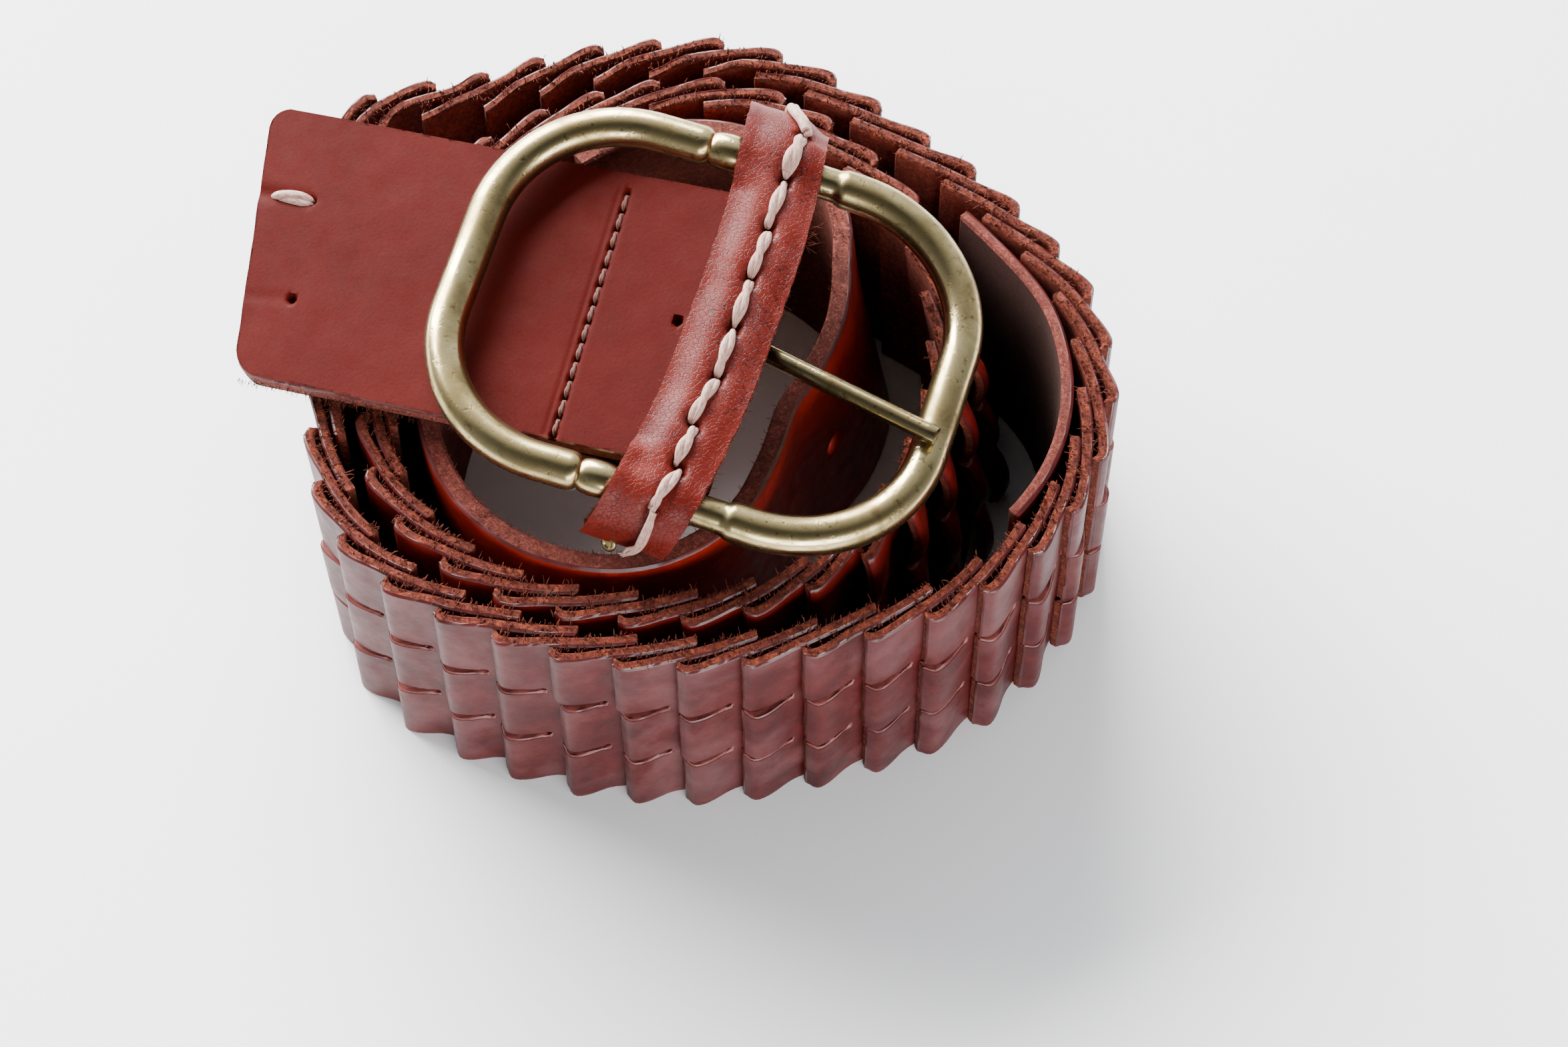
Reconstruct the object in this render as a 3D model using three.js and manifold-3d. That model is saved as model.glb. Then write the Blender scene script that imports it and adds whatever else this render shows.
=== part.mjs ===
// A leather belt coiled on edge, with its buckle end lying on top of the coil.
// Millimetres, +Z up. The belt is built around the middle of its coil and then
// moved so that the origin is the middle of the face that it rests on.
import * as THREE from 'three';
import { mergeVertices } from 'three/addons/utils/BufferGeometryUtils.js';
import Module from 'manifold-3d';

const wasm = await Module();
wasm.setup();

// Leather
const beltWidth = 38;          // height of the coil, because the belt stands on edge
const strapThick = 2.6;        // billet, tab and inner strap
const plateThick = 1.4;        // one leather plate of the braid
const wrapThick = 1.6;
const pieceGap = 0.35;         // between pieces that touch

// Braid
const plateLength = 17.5;
const platePitch = 7.6;        // from one plate to the next along the belt
const plateLean = 3.8;         // how much further out a plate's outer end lies than its inner end
const coreThick = 1.0;         // woven-through leather that joins the plates
const coreInset = 1.6;         // core below the plates' top and bottom edges
const slitLength = 9.0;
const slitWidth = 0.7;
const bareStart = { outer: 0.7, inner: 3.4 };   // strap before the first plate of each turn

// Coil
const coilRadius = 50;
const billetRing = 30;         // typical radius of the innermost ring
const billetOffset = { x: -9, y: 1 };
const innerStrap = { from: 32, to: -34 };   // degrees round the coil, inside the outer turn

// Billet holes
const holeDiameter = 4;
const holeSpacing = 25;
const holeCount = 4;
const holeFirst = -10;         // degrees round the billet's ring

// Buckle
const buckleLength = 65;
const buckleWidth = 52.5;
const barOffset = 1.8;         // bar to the right of the frame's middle
const wireDiameter = 5;
const neckDiameter = 4.2;
const barDiameter = 4;
const cornerRadius = 17;
const shoulder = { left: 7.5, right: 8.3 };   // from the bar to where the side wires thin to necks
const barOverhang = 2.4;       // how far the bar's ends stand past the side wires' middle
const archRise = 2.4;          // middle of the frame above its two ends
const framePitch = -14.3;      // degrees, frame against the tab
const prongDiameter = 2.5;
const prongSkew = -13;         // degrees
const prongSide = 1.0;         // prong's place along the bar, from the buckle's middle
const prongPast = 2.2;         // past the middle of the right end wire
const shankStart = 0.6;        // from the ring's inside to the shank's foot, in radii of the prong
const slotWidth = 5.8;         // prong's slot in the folded strap

// Tab and wrap
const tabLength = 62.5;        // from the bar to the middle of the tab's end
const tabSide = -1.0;          // tab's middle along the bar, from the buckle's middle
const tabCorner = 3.5;
const tabEndSkew = 9;          // far corner of the tab's end past its near corner
const backLayer = 19;          // length of the folded-back layer
const backRun = 0.55;          // share of it that still slopes up to the tab
const wrapWidth = 11.5;

// How the buckle end lies on the coil
const tabRise = 11.85;         // tab's top above the coil's top edge, at the bar
const tabPlace = { x: 0.35, y: -4.1 };
const tabYaw = -18;            // degrees
const tabClimb = 8.5;
const tabRoll = 5;

// Facets and steps
const wireSides = 10;
const barSides = 12;
const prongSides = 10;
const ringSides = 8;
const ringSteps = 20;
const bowSteps = 20;
const foldSteps = 9;
const cornerSteps = 4;
const holeSides = 10;
const shoulderSides = { around: 10, over: 6 };
const strapStep = 4;           // length of strap between two sections
const coreStep = 8;

const rad = THREE.MathUtils.degToRad;
const wireRadius = wireDiameter / 2;
const neckRadius = neckDiameter / 2;
const barRadius = barDiameter / 2;
const prongRadius = prongDiameter / 2;

// Turns of the belt, seen from above, from the outer end to the inner end.
// angle: degrees round the coil. top, bottom: shares of coilRadius.
const outerTurn = [
  { angle: 166, top: 1.100, bottom: 1.100 },
  { angle: 152, top: 1.160, bottom: 1.160 },
  { angle: 141, top: 1.130, bottom: 1.130 },
  { angle: 130, top: 0.990, bottom: 0.990 },
  { angle: 108, top: 0.905, bottom: 0.905 },
  { angle: 85, top: 0.870, bottom: 0.870 },
  { angle: 60, top: 0.795, bottom: 0.795 },
  { angle: 45, top: 0.790, bottom: 0.790 },
  { angle: 25, top: 0.845, bottom: 0.845 },
  { angle: 5, top: 0.945, bottom: 0.945 },
  { angle: -20, top: 0.990, bottom: 0.990 },
  { angle: -45, top: 0.942, bottom: 0.942 },
  { angle: -70, top: 0.874, bottom: 0.874 },
  { angle: -95, top: 0.884, bottom: 0.884 },
  { angle: -120, top: 0.938, bottom: 0.938 },
  { angle: -145, top: 1.030, bottom: 1.030 },
  { angle: -160, top: 1.016, bottom: 1.016 },
  { angle: -180, top: 0.940, bottom: 0.940 },
];
const innerTurn = [
  { angle: -180, top: 0.940, bottom: 0.940 },
  { angle: -220, top: 0.825, bottom: 0.825 },
  { angle: -245, top: 0.775, bottom: 0.775 },
  { angle: -275, top: 0.745, bottom: 0.745 },
  { angle: -300, top: 0.668, bottom: 0.672 },
  { angle: -318, top: 0.635, bottom: 0.660 },
  { angle: -340, top: 0.605, bottom: 0.698 },
  { angle: -360, top: 0.590, bottom: 0.704 },
  { angle: -390, top: 0.610, bottom: 0.680 },
  { angle: -415, top: 0.670, bottom: 0.690 },
  { angle: -440, top: 0.725, bottom: 0.725 },
  { angle: -465, top: 0.780, bottom: 0.780 },
  { angle: -490, top: 0.860, bottom: 0.860 },
  { angle: -515, top: 0.892, bottom: 0.892 },
  { angle: -540, top: 0.808, bottom: 0.808 },
  { angle: -570, top: 0.720, bottom: 0.720 },
  { angle: -600, top: 0.655, bottom: 0.655 },
];

// Billet, round its own middle. top, bottom: shares of billetRing.
const billetTurn = [
  { angle: 108, top: 0.930, bottom: 0.930 },
  { angle: 85, top: 1.050, bottom: 1.050 },
  { angle: 62, top: 1.110, bottom: 1.110 },
  { angle: 40, top: 1.070, bottom: 1.115 },
  { angle: 22, top: 0.915, bottom: 1.120 },
  { angle: 4, top: 0.817, bottom: 0.980 },
  { angle: -12, top: 0.745, bottom: 0.840 },
  { angle: -30, top: 0.705, bottom: 0.765 },
  { angle: -48, top: 0.800, bottom: 0.820 },
  { angle: -66, top: 0.950, bottom: 0.950 },
  { angle: -88, top: 1.070, bottom: 1.070 },
  { angle: -110, top: 1.100, bottom: 1.100 },
  { angle: -132, top: 1.065, bottom: 1.065 },
  { angle: -155, top: 0.975, bottom: 0.975 },
  { angle: -178, top: 0.880, bottom: 0.880 },
  { angle: -195, top: 0.850, bottom: 0.850 },
];

// Under side of the wrap from its near end to its far end, in the buckle end's axes below.
// along: share of the way from the frame's middle to a side wire. height: above the tab's top, in neck
// diameters. side: its middle to the right of the bar, in widths of the wrap.
const wrapPath = [
  { along: -1.141, height: -1.95, side: -0.10 },
  { along: -1.141, height: -1.02, side: -0.05 },
  { along: -1.086, height: -0.12, side: 0.03 },
  { along: -1.027, height: 0.13, side: 0.10 },
  { along: -0.505, height: 0.13, side: 0.23 },
  { along: 0.042, height: 0.13, side: 0.26 },
  { along: 0.589, height: 0.13, side: 0.25 },
  { along: 1.036, height: 0.13, side: 0.17 },
  { along: 1.154, height: -0.14, side: 0.14 },
  { along: 1.192, height: -0.45, side: 0.11 },
  { along: 1.192, height: -1.43, side: 0.10 },
];

const leather = new THREE.MeshStandardMaterial({ color: 0x8f3a2e, roughness: 0.55, metalness: 0 });
const braidLeather = new THREE.MeshStandardMaterial({ color: 0x8a4034, roughness: 0.62, metalness: 0 });
const brass = new THREE.MeshStandardMaterial({ color: 0xa89a66, roughness: 0.32, metalness: 1 });

// A closed mesh turned into a solid that can be joined and cut
function solid(geometry) {
  const bare = geometry.clone();
  bare.deleteAttribute('normal');
  bare.deleteAttribute('uv');
  const merged = mergeVertices(bare, 1e-4);
  return new wasm.Manifold(new wasm.Mesh({
    numProp: 3,
    vertProperties: new Float32Array(merged.attributes.position.array),
    triVerts: new Uint32Array(merged.index.array),
  }));
}

function geometryOf(body) {
  const mesh = body.getMesh();
  const geometry = new THREE.BufferGeometry();
  geometry.setAttribute('position', new THREE.BufferAttribute(new Float32Array(mesh.vertProperties), 3));
  geometry.setIndex(new THREE.BufferAttribute(new Uint32Array(mesh.triVerts), 1));
  geometry.computeVertexNormals();
  return geometry;
}

function joined(bodies) {
  return bodies.reduce((all, body) => all.add(body));
}

// A skin through closed sections that all have the same number of points, with flat ends
function loft(sections) {
  const points = sections.flat();
  const side = sections[0].length;
  const faces = [];
  for (let row = 0; row + 1 < sections.length; row += 1) {
    for (let i = 0; i < side; i += 1) {
      const a = row * side + i;
      const b = row * side + (i + 1) % side;
      faces.push(a, b, b + side, a, b + side, a + side);
    }
  }
  const last = (sections.length - 1) * side;
  for (let i = 1; i + 1 < side; i += 1) {
    faces.push(0, i + 1, i, last, last + i, last + i + 1);
  }
  const geometry = new THREE.BufferGeometry();
  const numbers = points.flatMap((point) => point.toArray());
  geometry.setAttribute('position', new THREE.Float32BufferAttribute(numbers, 3));
  geometry.setIndex(faces);
  return geometry;
}

// Stops the build at a skin whose faces point inwards
function checked(body) {
  if (body.volume() > 0) return body;
  throw new Error('a skin is inside out');
}

// One turn of strap: where it runs, and which way is out
class Turn {
  constructor(rows, size, centre) {
    this.rows = rows;
    this.size = size;
    this.centre = centre;
    this.spots = this.measure();
    this.length = this.spots[this.spots.length - 1].along;
  }

  // Smooth share between the table's rows
  share(angle, column) {
    const rows = this.rows;
    let i = 0;
    while (i + 2 < rows.length && angle < rows[i + 1].angle) i += 1;
    const before = rows[Math.max(i - 1, 0)];
    const from = rows[i];
    const to = rows[i + 1];
    const after = rows[Math.min(i + 2, rows.length - 1)];
    const span = to.angle - from.angle;
    const t = (angle - from.angle) / span;
    const m0 = (to[column] - before[column]) / (to.angle - before.angle) * span;
    const m1 = (after[column] - from[column]) / (after.angle - from.angle) * span;
    const t2 = t * t;
    const t3 = t2 * t;
    return (2 * t3 - 3 * t2 + 1) * from[column] + (t3 - 2 * t2 + t) * m0
      + (3 * t2 - 2 * t3) * to[column] + (t3 - t2) * m1;
  }

  point(angle, column) {
    const reach = this.share(angle, column) * this.size;
    const turn = rad(angle);
    const spoke = new THREE.Vector2(Math.cos(turn), Math.sin(turn));
    return spoke.multiplyScalar(reach).add(this.centre);
  }

  // Distance along the strap's top edge, one spot for each degree or so
  measure() {
    const first = this.rows[0].angle;
    const last = this.rows[this.rows.length - 1].angle;
    const count = Math.ceil(first - last);
    const spots = [];
    let along = 0;
    for (let i = 0; i <= count; i += 1) {
      const angle = first + (last - first) * i / count;
      if (i > 0) along += this.point(angle, 'top').distanceTo(this.point(spots[i - 1].angle, 'top'));
      spots.push({ angle, along });
    }
    return spots;
  }

  angleAt(along) {
    const spots = this.spots;
    let i = 1;
    while (i + 1 < spots.length && spots[i].along < along) i += 1;
    const part = (along - spots[i - 1].along) / (spots[i].along - spots[i - 1].along);
    return spots[i - 1].angle + part * (spots[i].angle - spots[i - 1].angle);
  }

  // A corner of the strap: offset outwards from its middle, at height z
  corner(along, offset, z) {
    const angle = this.angleAt(along);
    const step = 0.5;
    const spot = (a) => this.point(a, 'bottom').lerp(this.point(a, 'top'), z / beltWidth);
    const ahead = spot(angle - step);
    const behind = spot(angle + step);
    const way = ahead.sub(behind).normalize();
    const here = spot(angle);
    return new THREE.Vector3(here.x - way.y * offset, here.y + way.x * offset, z);
  }

  // A length of strap as a solid. offsets: how far out its middle lies at each station.
  slab(stations, offsets, thick, low, high) {
    return checked(solid(loft(stations.map((along, i) => [
      this.corner(along, offsets[i] - thick / 2, low),
      this.corner(along, offsets[i] + thick / 2, low),
      this.corner(along, offsets[i] + thick / 2, high),
      this.corner(along, offsets[i] - thick / 2, high),
    ]))));
  }

  evenSlab(from, to, offset, thick, low, high, step) {
    const count = Math.max(1, Math.round((to - from) / step));
    const stations = Array.from({ length: count + 1 }, (_, i) => from + (to - from) * i / count);
    return this.slab(stations, stations.map(() => offset), thick, low, high);
  }
}

// Overlapping plates on a thin core. Each plate's outer end is split into three rows by two slits.
function braid(turn, bare, withSlits) {
  const coreStart = plateLength / 3;
  const slitCut = 3 * plateThick;
  let body = turn.evenSlab(coreStart, turn.length - coreStart, 0, coreThick,
    coreInset, beltWidth - coreInset, coreStep);
  const start = bare + plateLength / 2;
  const count = Math.floor((turn.length - plateLength / 2 - start) / platePitch);
  for (let i = 0; i <= count; i += 1) {
    const middle = start + i * platePitch;
    const stations = [middle - plateLength / 2, middle, middle + plateLength / 2];
    const offsets = [-plateLean / 2, 0, plateLean / 2];
    let plate = turn.slab(stations, offsets, plateThick, 0, beltWidth);
    if (withSlits) {
      for (const share of [1 / 3, 2 / 3]) {
        const slit = [middle + plateLength / 2 - slitLength, middle + plateLength / 2 + slitWidth];
        const out = [plateLean / 2 - plateLean * slitLength / plateLength, plateLean / 2];
        plate = plate.subtract(turn.slab(slit, out, slitCut,
          beltWidth * share - slitWidth / 2, beltWidth * share + slitWidth / 2));
      }
    }
    body = body.add(plate);
  }
  return body;
}

// A smooth strap that lies against the inside of the outer turn
function innerBand(turn) {
  const inset = plateLean / 2 + plateThick / 2 + pieceGap + wrapThick / 2;
  const along = (angle) => turn.spots.find((spot) => spot.angle <= angle).along;
  const from = along(innerStrap.from);
  const to = along(innerStrap.to);
  return turn.evenSlab(from, to, -inset, wrapThick, 0, beltWidth, strapStep);
}

function billet(turn) {
  let body = turn.evenSlab(0, turn.length, 0, strapThick, 0, beltWidth, strapStep);
  const first = turn.spots.find((spot) => spot.angle <= holeFirst).along;
  for (let i = 0; i < holeCount; i += 1) {
    const along = first + i * holeSpacing;
    const from = turn.corner(along, -strapThick, beltWidth / 2);
    const to = turn.corner(along, strapThick, beltWidth / 2);
    body = body.subtract(rod(from, to, holeDiameter / 2, holeSides));
  }
  return body;
}

// A straight round rod between two points
function rod(from, to, radius, sides) {
  const way = to.clone().sub(from);
  const geometry = new THREE.CylinderGeometry(radius, radius, way.length(), sides);
  geometry.applyQuaternion(new THREE.Quaternion().setFromUnitVectors(new THREE.Vector3(0, 1, 0),
    way.clone().normalize()));
  geometry.translate((from.x + to.x) / 2, (from.y + to.y) / 2, (from.z + to.z) / 2);
  return solid(geometry);
}

function ball(at, radius) {
  const geometry = new THREE.SphereGeometry(radius, shoulderSides.around, shoulderSides.over);
  geometry.translate(at.x, at.y, at.z);
  return solid(geometry);
}

function roundSection(radius, sides) {
  const shape = new THREE.Shape();
  for (let i = 0; i < sides; i += 1) {
    const turn = 2 * Math.PI * (i + 0.5) / sides;
    if (i === 0) shape.moveTo(radius * Math.cos(turn), radius * Math.sin(turn));
    else shape.lineTo(radius * Math.cos(turn), radius * Math.sin(turn));
  }
  shape.closePath();
  return shape;
}

// The buckle end has its own axes: X along the strap towards the buckle's right end,
// Y along the centre bar, Z up. Z is 0 on the tab's top, X is 0 at the bar.
const wireMiddle = buckleWidth / 2 - wireRadius;
const endMiddle = {
  left: buckleLength / 2 - wireRadius + barOffset,
  right: buckleLength / 2 - wireRadius - barOffset,
};
const sideHeight = -neckRadius;
const barHeight = -(strapThick + pieceGap + barRadius);

function frameHeight(x) {
  const end = x < 0 ? endMiddle.left : endMiddle.right;
  return sideHeight + Math.tan(rad(framePitch)) * x - archRise * (x / end) ** 2;
}

// Half of the frame: from one side wire round the end to the other
class BowCurve extends THREE.Curve {
  constructor(side) {
    super();
    this.side = side;
    this.end = side < 0 ? endMiddle.left : endMiddle.right;
    this.start = side < 0 ? shoulder.left : shoulder.right;
    this.straight = this.end - cornerRadius - this.start;
    this.across = 2 * (wireMiddle - cornerRadius);
    this.arc = cornerRadius * Math.PI / 2;
  }

  getPoint(t, target = new THREE.Vector3()) {
    const total = 2 * this.straight + 2 * this.arc + this.across;
    const d = t * total;
    const from = this.start;
    const flip = d > total / 2;
    const s = flip ? total - d : d;
    let x;
    let y;
    if (s < this.straight) {
      x = from + s;
      y = wireMiddle;
    } else if (s < this.straight + this.arc) {
      const turn = (s - this.straight) / cornerRadius;
      x = from + this.straight + cornerRadius * Math.sin(turn);
      y = wireMiddle - cornerRadius + cornerRadius * Math.cos(turn);
    } else {
      x = this.end;
      y = wireMiddle - cornerRadius - (s - this.straight - this.arc);
    }
    x *= this.side;
    return target.set(x, flip ? -y : y, frameHeight(x));
  }
}

// Two bows of thick wire, thinner necks between them, and the centre bar. The left bow has round shoulders.
function buckleFrame() {
  const pieces = [];
  for (const side of [-1, 1]) {
    const bow = new BowCurve(side);
    pieces.push(checked(solid(new THREE.ExtrudeGeometry(roundSection(wireRadius, wireSides), {
      steps: bowSteps, extrudePath: bow, bevelEnabled: false,
    }))));
    if (side < 0) pieces.push(ball(bow.getPoint(0), wireRadius), ball(bow.getPoint(1), wireRadius));
  }
  for (const side of [-1, 1]) {
    const at = (x) => new THREE.Vector3(x, side * wireMiddle, frameHeight(x));
    pieces.push(rod(at(-shoulder.left), at(0), neckRadius, wireSides));
    pieces.push(rod(at(0), at(shoulder.right + neckRadius), neckRadius, wireSides));
  }
  const barEnd = new THREE.Vector3(0, wireMiddle + barOverhang, barHeight);
  pieces.push(rod(barEnd.clone().setY(-barEnd.y), barEnd, barRadius, barSides));
  return joined(pieces);
}

function prong() {
  const inside = barRadius + pieceGap;
  const ringPoints = roundSection(prongRadius, ringSides).getPoints()
    .map((p) => new THREE.Vector2(p.x + inside + prongRadius, p.y));
  ringPoints.push(ringPoints[0].clone());
  const ring = solid(new THREE.LatheGeometry(ringPoints, ringSteps));
  const tipX = endMiddle.right + prongPast;
  const tipZ = frameHeight(endMiddle.right) + wireRadius + pieceGap + prongRadius - barHeight;
  const foot = new THREE.Vector3(inside + prongRadius * shankStart, 0, 0);
  const shank = rod(foot, new THREE.Vector3(tipX, 0, tipZ), prongRadius, prongSides);
  return ring.add(shank);
}

function arcPoints(cx, cy, radius, from, to, steps) {
  return Array.from({ length: steps + 1 }, (_, i) => {
    const turn = rad(from + (to - from) * i / steps);
    return new THREE.Vector2(cx + radius * Math.cos(turn), cy + radius * Math.sin(turn));
  });
}

// Side view of the folded strap, pushed along the bar for the belt's width
function tab() {
  const inside = barRadius + pieceGap;
  const outside = inside + strapThick;
  const cutHeight = 4 * outside;
  const top = -strapThick;
  const backTop = top - pieceGap;
  const meetX = -backLayer * backRun;
  const meetTurn = Math.atan2(backTop - barHeight, meetX)
    + Math.acos(inside / Math.hypot(meetX, backTop - barHeight));
  const foldEnd = THREE.MathUtils.radToDeg(meetTurn) - 360;
  const outerLine = [
    new THREE.Vector2(-tabLength - tabEndSkew, 0),
    ...arcPoints(0, barHeight, outside, 90, foldEnd, foldSteps),
    new THREE.Vector2(meetX, backTop - strapThick),
    new THREE.Vector2(-backLayer, backTop - strapThick),
  ];
  const innerLine = [
    new THREE.Vector2(-tabLength - tabEndSkew, top),
    ...arcPoints(0, barHeight, inside, 90, foldEnd, foldSteps),
    new THREE.Vector2(meetX, backTop),
    new THREE.Vector2(-backLayer, backTop),
  ];
  const profile = new THREE.Shape([...outerLine, ...innerLine.reverse()]);
  const geometry = new THREE.ExtrudeGeometry(profile, {
    depth: beltWidth, steps: 1, bevelEnabled: false,
  });
  geometry.rotateX(Math.PI / 2);
  geometry.translate(0, beltWidth / 2, 0);
  const slotBack = outside + pieceGap;
  const slotLong = 2 * slotBack;
  const slot = new THREE.BoxGeometry(slotLong, slotWidth, cutHeight);
  slot.translate(0, prongSide - tabSide, barHeight);
  const folded = checked(solid(geometry)).subtract(solid(slot));
  const plan = new THREE.Shape();
  const half = beltWidth / 2;
  const farEnd = -tabLength - tabEndSkew / 2;
  const nearEnd = -tabLength + tabEndSkew / 2;
  plan.moveTo(outside + pieceGap, -half);
  plan.lineTo(outside + pieceGap, half);
  plan.lineTo(farEnd + tabCorner, half);
  plan.quadraticCurveTo(farEnd, half, farEnd, half - tabCorner);
  plan.lineTo(nearEnd, -half + tabCorner);
  plan.quadraticCurveTo(nearEnd, -half, nearEnd + tabCorner, -half);
  plan.closePath();
  const outline = new THREE.ExtrudeGeometry(plan, {
    depth: cutHeight, steps: 1, bevelEnabled: false, curveSegments: cornerSteps,
  });
  outline.translate(0, 0, outside - cutHeight);
  return folded.intersect(checked(solid(outline)));
}

// The strip over the bar and both side wires, a section at each row of its path
function wrap() {
  const under = wrapPath.map((row) => new THREE.Vector2(row.along * wireMiddle, row.height * neckDiameter));
  const sections = under.map((point, i) => {
    const wayIn = point.clone().sub(under[Math.max(i - 1, 0)]).normalize();
    const wayOut = under[Math.min(i + 1, under.length - 1)].clone().sub(point).normalize();
    const way = wayIn.clone().add(wayOut).normalize();
    const isEnd = i === 0 || i + 1 === under.length;
    const thick = isEnd ? wrapThick : wrapThick / way.dot(wayIn);
    const over = new THREE.Vector2(point.x - way.y * thick, point.y + way.x * thick);
    const left = (wrapPath[i].side - 0.5) * wrapWidth;
    const right = (wrapPath[i].side + 0.5) * wrapWidth;
    return [
      new THREE.Vector3(left, point.x, point.y),
      new THREE.Vector3(left, over.x, over.y),
      new THREE.Vector3(right, over.x, over.y),
      new THREE.Vector3(right, point.x, point.y),
    ];
  });
  return checked(solid(loft(sections)));
}

function mesh(name, body, material) {
  const piece = new THREE.Mesh(geometryOf(body), material.clone());
  piece.name = name;
  return piece;
}

const coilMiddle = new THREE.Vector2(0, 0);
const outerPath = new Turn(outerTurn, coilRadius, coilMiddle);
const innerPath = new Turn(innerTurn, coilRadius, coilMiddle);
const ring = new Turn(billetTurn, billetRing, new THREE.Vector2(billetOffset.x, billetOffset.y));

const coil = new THREE.Group();
coil.add(mesh('braid_outer', braid(outerPath, bareStart.outer, true), braidLeather));
coil.add(mesh('braid_inner', braid(innerPath, bareStart.inner, false), braidLeather));
coil.add(mesh('inner_strap', innerBand(outerPath), leather));
coil.add(mesh('billet', billet(ring), leather));

const buckleEnd = new THREE.Group();
buckleEnd.position.set(tabPlace.x, tabPlace.y, beltWidth + tabRise);
buckleEnd.rotation.set(rad(tabRoll), -rad(tabClimb), rad(tabYaw), 'ZYX');
const tabMesh = mesh('tab', tab(), leather);
tabMesh.position.y = tabSide;
buckleEnd.add(tabMesh);
const wrapMesh = mesh('wrap', wrap(), leather);
wrapMesh.rotation.y = -rad(framePitch);
buckleEnd.add(wrapMesh);
buckleEnd.add(mesh('buckle_frame', buckleFrame(), brass));
const prongMesh = mesh('prong', prong(), brass);
prongMesh.position.set(0, prongSide, barHeight);
prongMesh.rotation.z = rad(prongSkew);
buckleEnd.add(prongMesh);

const belt = new THREE.Group();
belt.add(coil, buckleEnd);
belt.updateMatrixWorld(true);
const box = new THREE.Box3().setFromObject(belt, true);
belt.position.set(-(box.min.x + box.max.x) / 2, -(box.min.y + box.max.y) / 2, -box.min.z);

export default belt;
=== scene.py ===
import math
import random

import bpy
from mathutils import Matrix, Vector, noise


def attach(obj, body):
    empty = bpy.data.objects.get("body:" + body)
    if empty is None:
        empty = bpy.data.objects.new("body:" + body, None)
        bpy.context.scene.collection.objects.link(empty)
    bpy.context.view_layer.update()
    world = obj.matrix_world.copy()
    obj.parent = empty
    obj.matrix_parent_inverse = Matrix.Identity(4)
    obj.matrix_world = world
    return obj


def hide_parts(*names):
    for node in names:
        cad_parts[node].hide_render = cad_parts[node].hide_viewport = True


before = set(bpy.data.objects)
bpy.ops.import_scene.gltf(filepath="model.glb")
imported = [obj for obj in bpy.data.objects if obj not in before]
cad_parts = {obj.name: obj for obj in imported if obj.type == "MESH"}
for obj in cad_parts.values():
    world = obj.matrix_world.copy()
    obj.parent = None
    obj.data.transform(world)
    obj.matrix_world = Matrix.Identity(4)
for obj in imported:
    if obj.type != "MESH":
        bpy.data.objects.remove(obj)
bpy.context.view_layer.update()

# Shapes are in millimetres in the part's frame until they become objects; lights and camera are in metres.
MM = 0.001
ROUND = 2 * math.pi
COIL_MIDDLE = Vector((4.2144, 0.0536, 0.0))

# Leather
BELT_WIDTH = 38.0
STRAP_THICK = 2.6
PLATE_THICK = 1.4
PLATE_LENGTH = 17.5
PLATE_PITCH = 7.6
PLATE_LEAN = 3.8
BARE_START = {"outer": 0.7, "inner": 3.4}      # strap before each turn's first plate
SLIT_ROOT = 11.9          # from the plate's hidden end to the middle of the slit's round hole
SLIT_HALF = 0.38          # half the slit's width
SLIT_HOLE = 0.62          # radius of its round hole
ROWS = 3
ROW_HEIGHT = BELT_WIDTH / ROWS
COIL_RADIUS = 50.0
BILLET_RING = 30.0

# Buckle end, on its own axes: X along the strap to the right, Y along the bar, Z 0 on the tab's top
TAB_PLACE = Vector((0.35, -4.1, 49.85))
TAB_TURN = (5.0, 8.5, -18.0)      # roll, climb, yaw in degrees
FRAME_PITCH = 14.3
WIRE_RADIUS = 2.5
NECK_RADIUS = 2.1
BAR_RADIUS = 2.0
BUCKLE_LENGTH = 65.0
BUCKLE_WIDTH = 52.5
BAR_OFFSET = 1.8
CORNER_RADIUS = 17.0
ARCH_RISE = 2.4
PIECE_GAP = 0.35

# Angle round the coil, then the strap's reach as a share of COIL_RADIUS, or its top's and its bottom's
OUTER_TURN = [
    (166, 1.100), (152, 1.160), (141, 1.130), (130, 0.990), (108, 0.905), (85, 0.870), (60, 0.795),
    (45, 0.790), (25, 0.845), (5, 0.945), (-20, 0.990), (-45, 0.942), (-70, 0.874), (-95, 0.884),
    (-120, 0.938), (-145, 1.030), (-160, 1.016, 1.000), (-180, 0.940, 0.925),
]
INNER_TURN = [
    (-180, 0.940, 0.925), (-220, 0.825), (-245, 0.775), (-275, 0.745), (-300, 0.668, 0.672),
    (-318, 0.635, 0.660), (-340, 0.605, 0.698), (-360, 0.590, 0.704), (-390, 0.610, 0.680),
    (-415, 0.670, 0.690), (-440, 0.725), (-465, 0.780), (-490, 0.860), (-515, 0.892),
    (-540, 0.808, 0.820), (-570, 0.720), (-600, 0.655),
]
# The same for the billet, round its own middle, as shares of BILLET_RING
BILLET_TURN = [
    (108, 0.930), (85, 1.050), (62, 1.110), (40, 1.070, 1.115), (22, 0.915, 1.120),
    (4, 0.817, 0.980), (-12, 0.745, 0.840), (-30, 0.705, 0.765), (-48, 0.800, 0.820), (-66, 0.950),
    (-88, 1.070), (-110, 1.100), (-132, 1.065), (-155, 0.975), (-178, 0.880), (-195, 0.850),
]


def smooth(edge0, edge1, x):
    t = min(max((x - edge0) / (edge1 - edge0), 0.0), 1.0)
    return t * t * (3 - 2 * t)


def rough(point, scale, seed=0.0):
    """Smooth noise from -1 to 1, with features about scale millimetres across."""
    return noise.noise(Vector(point) / scale + Vector((seed, 2.3 * seed, -seed)))


def spread(start, end, count):
    """Evenly spaced numbers, count steps from start to end."""
    return [start + (end - start) * i / count for i in range(count + 1)]


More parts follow.
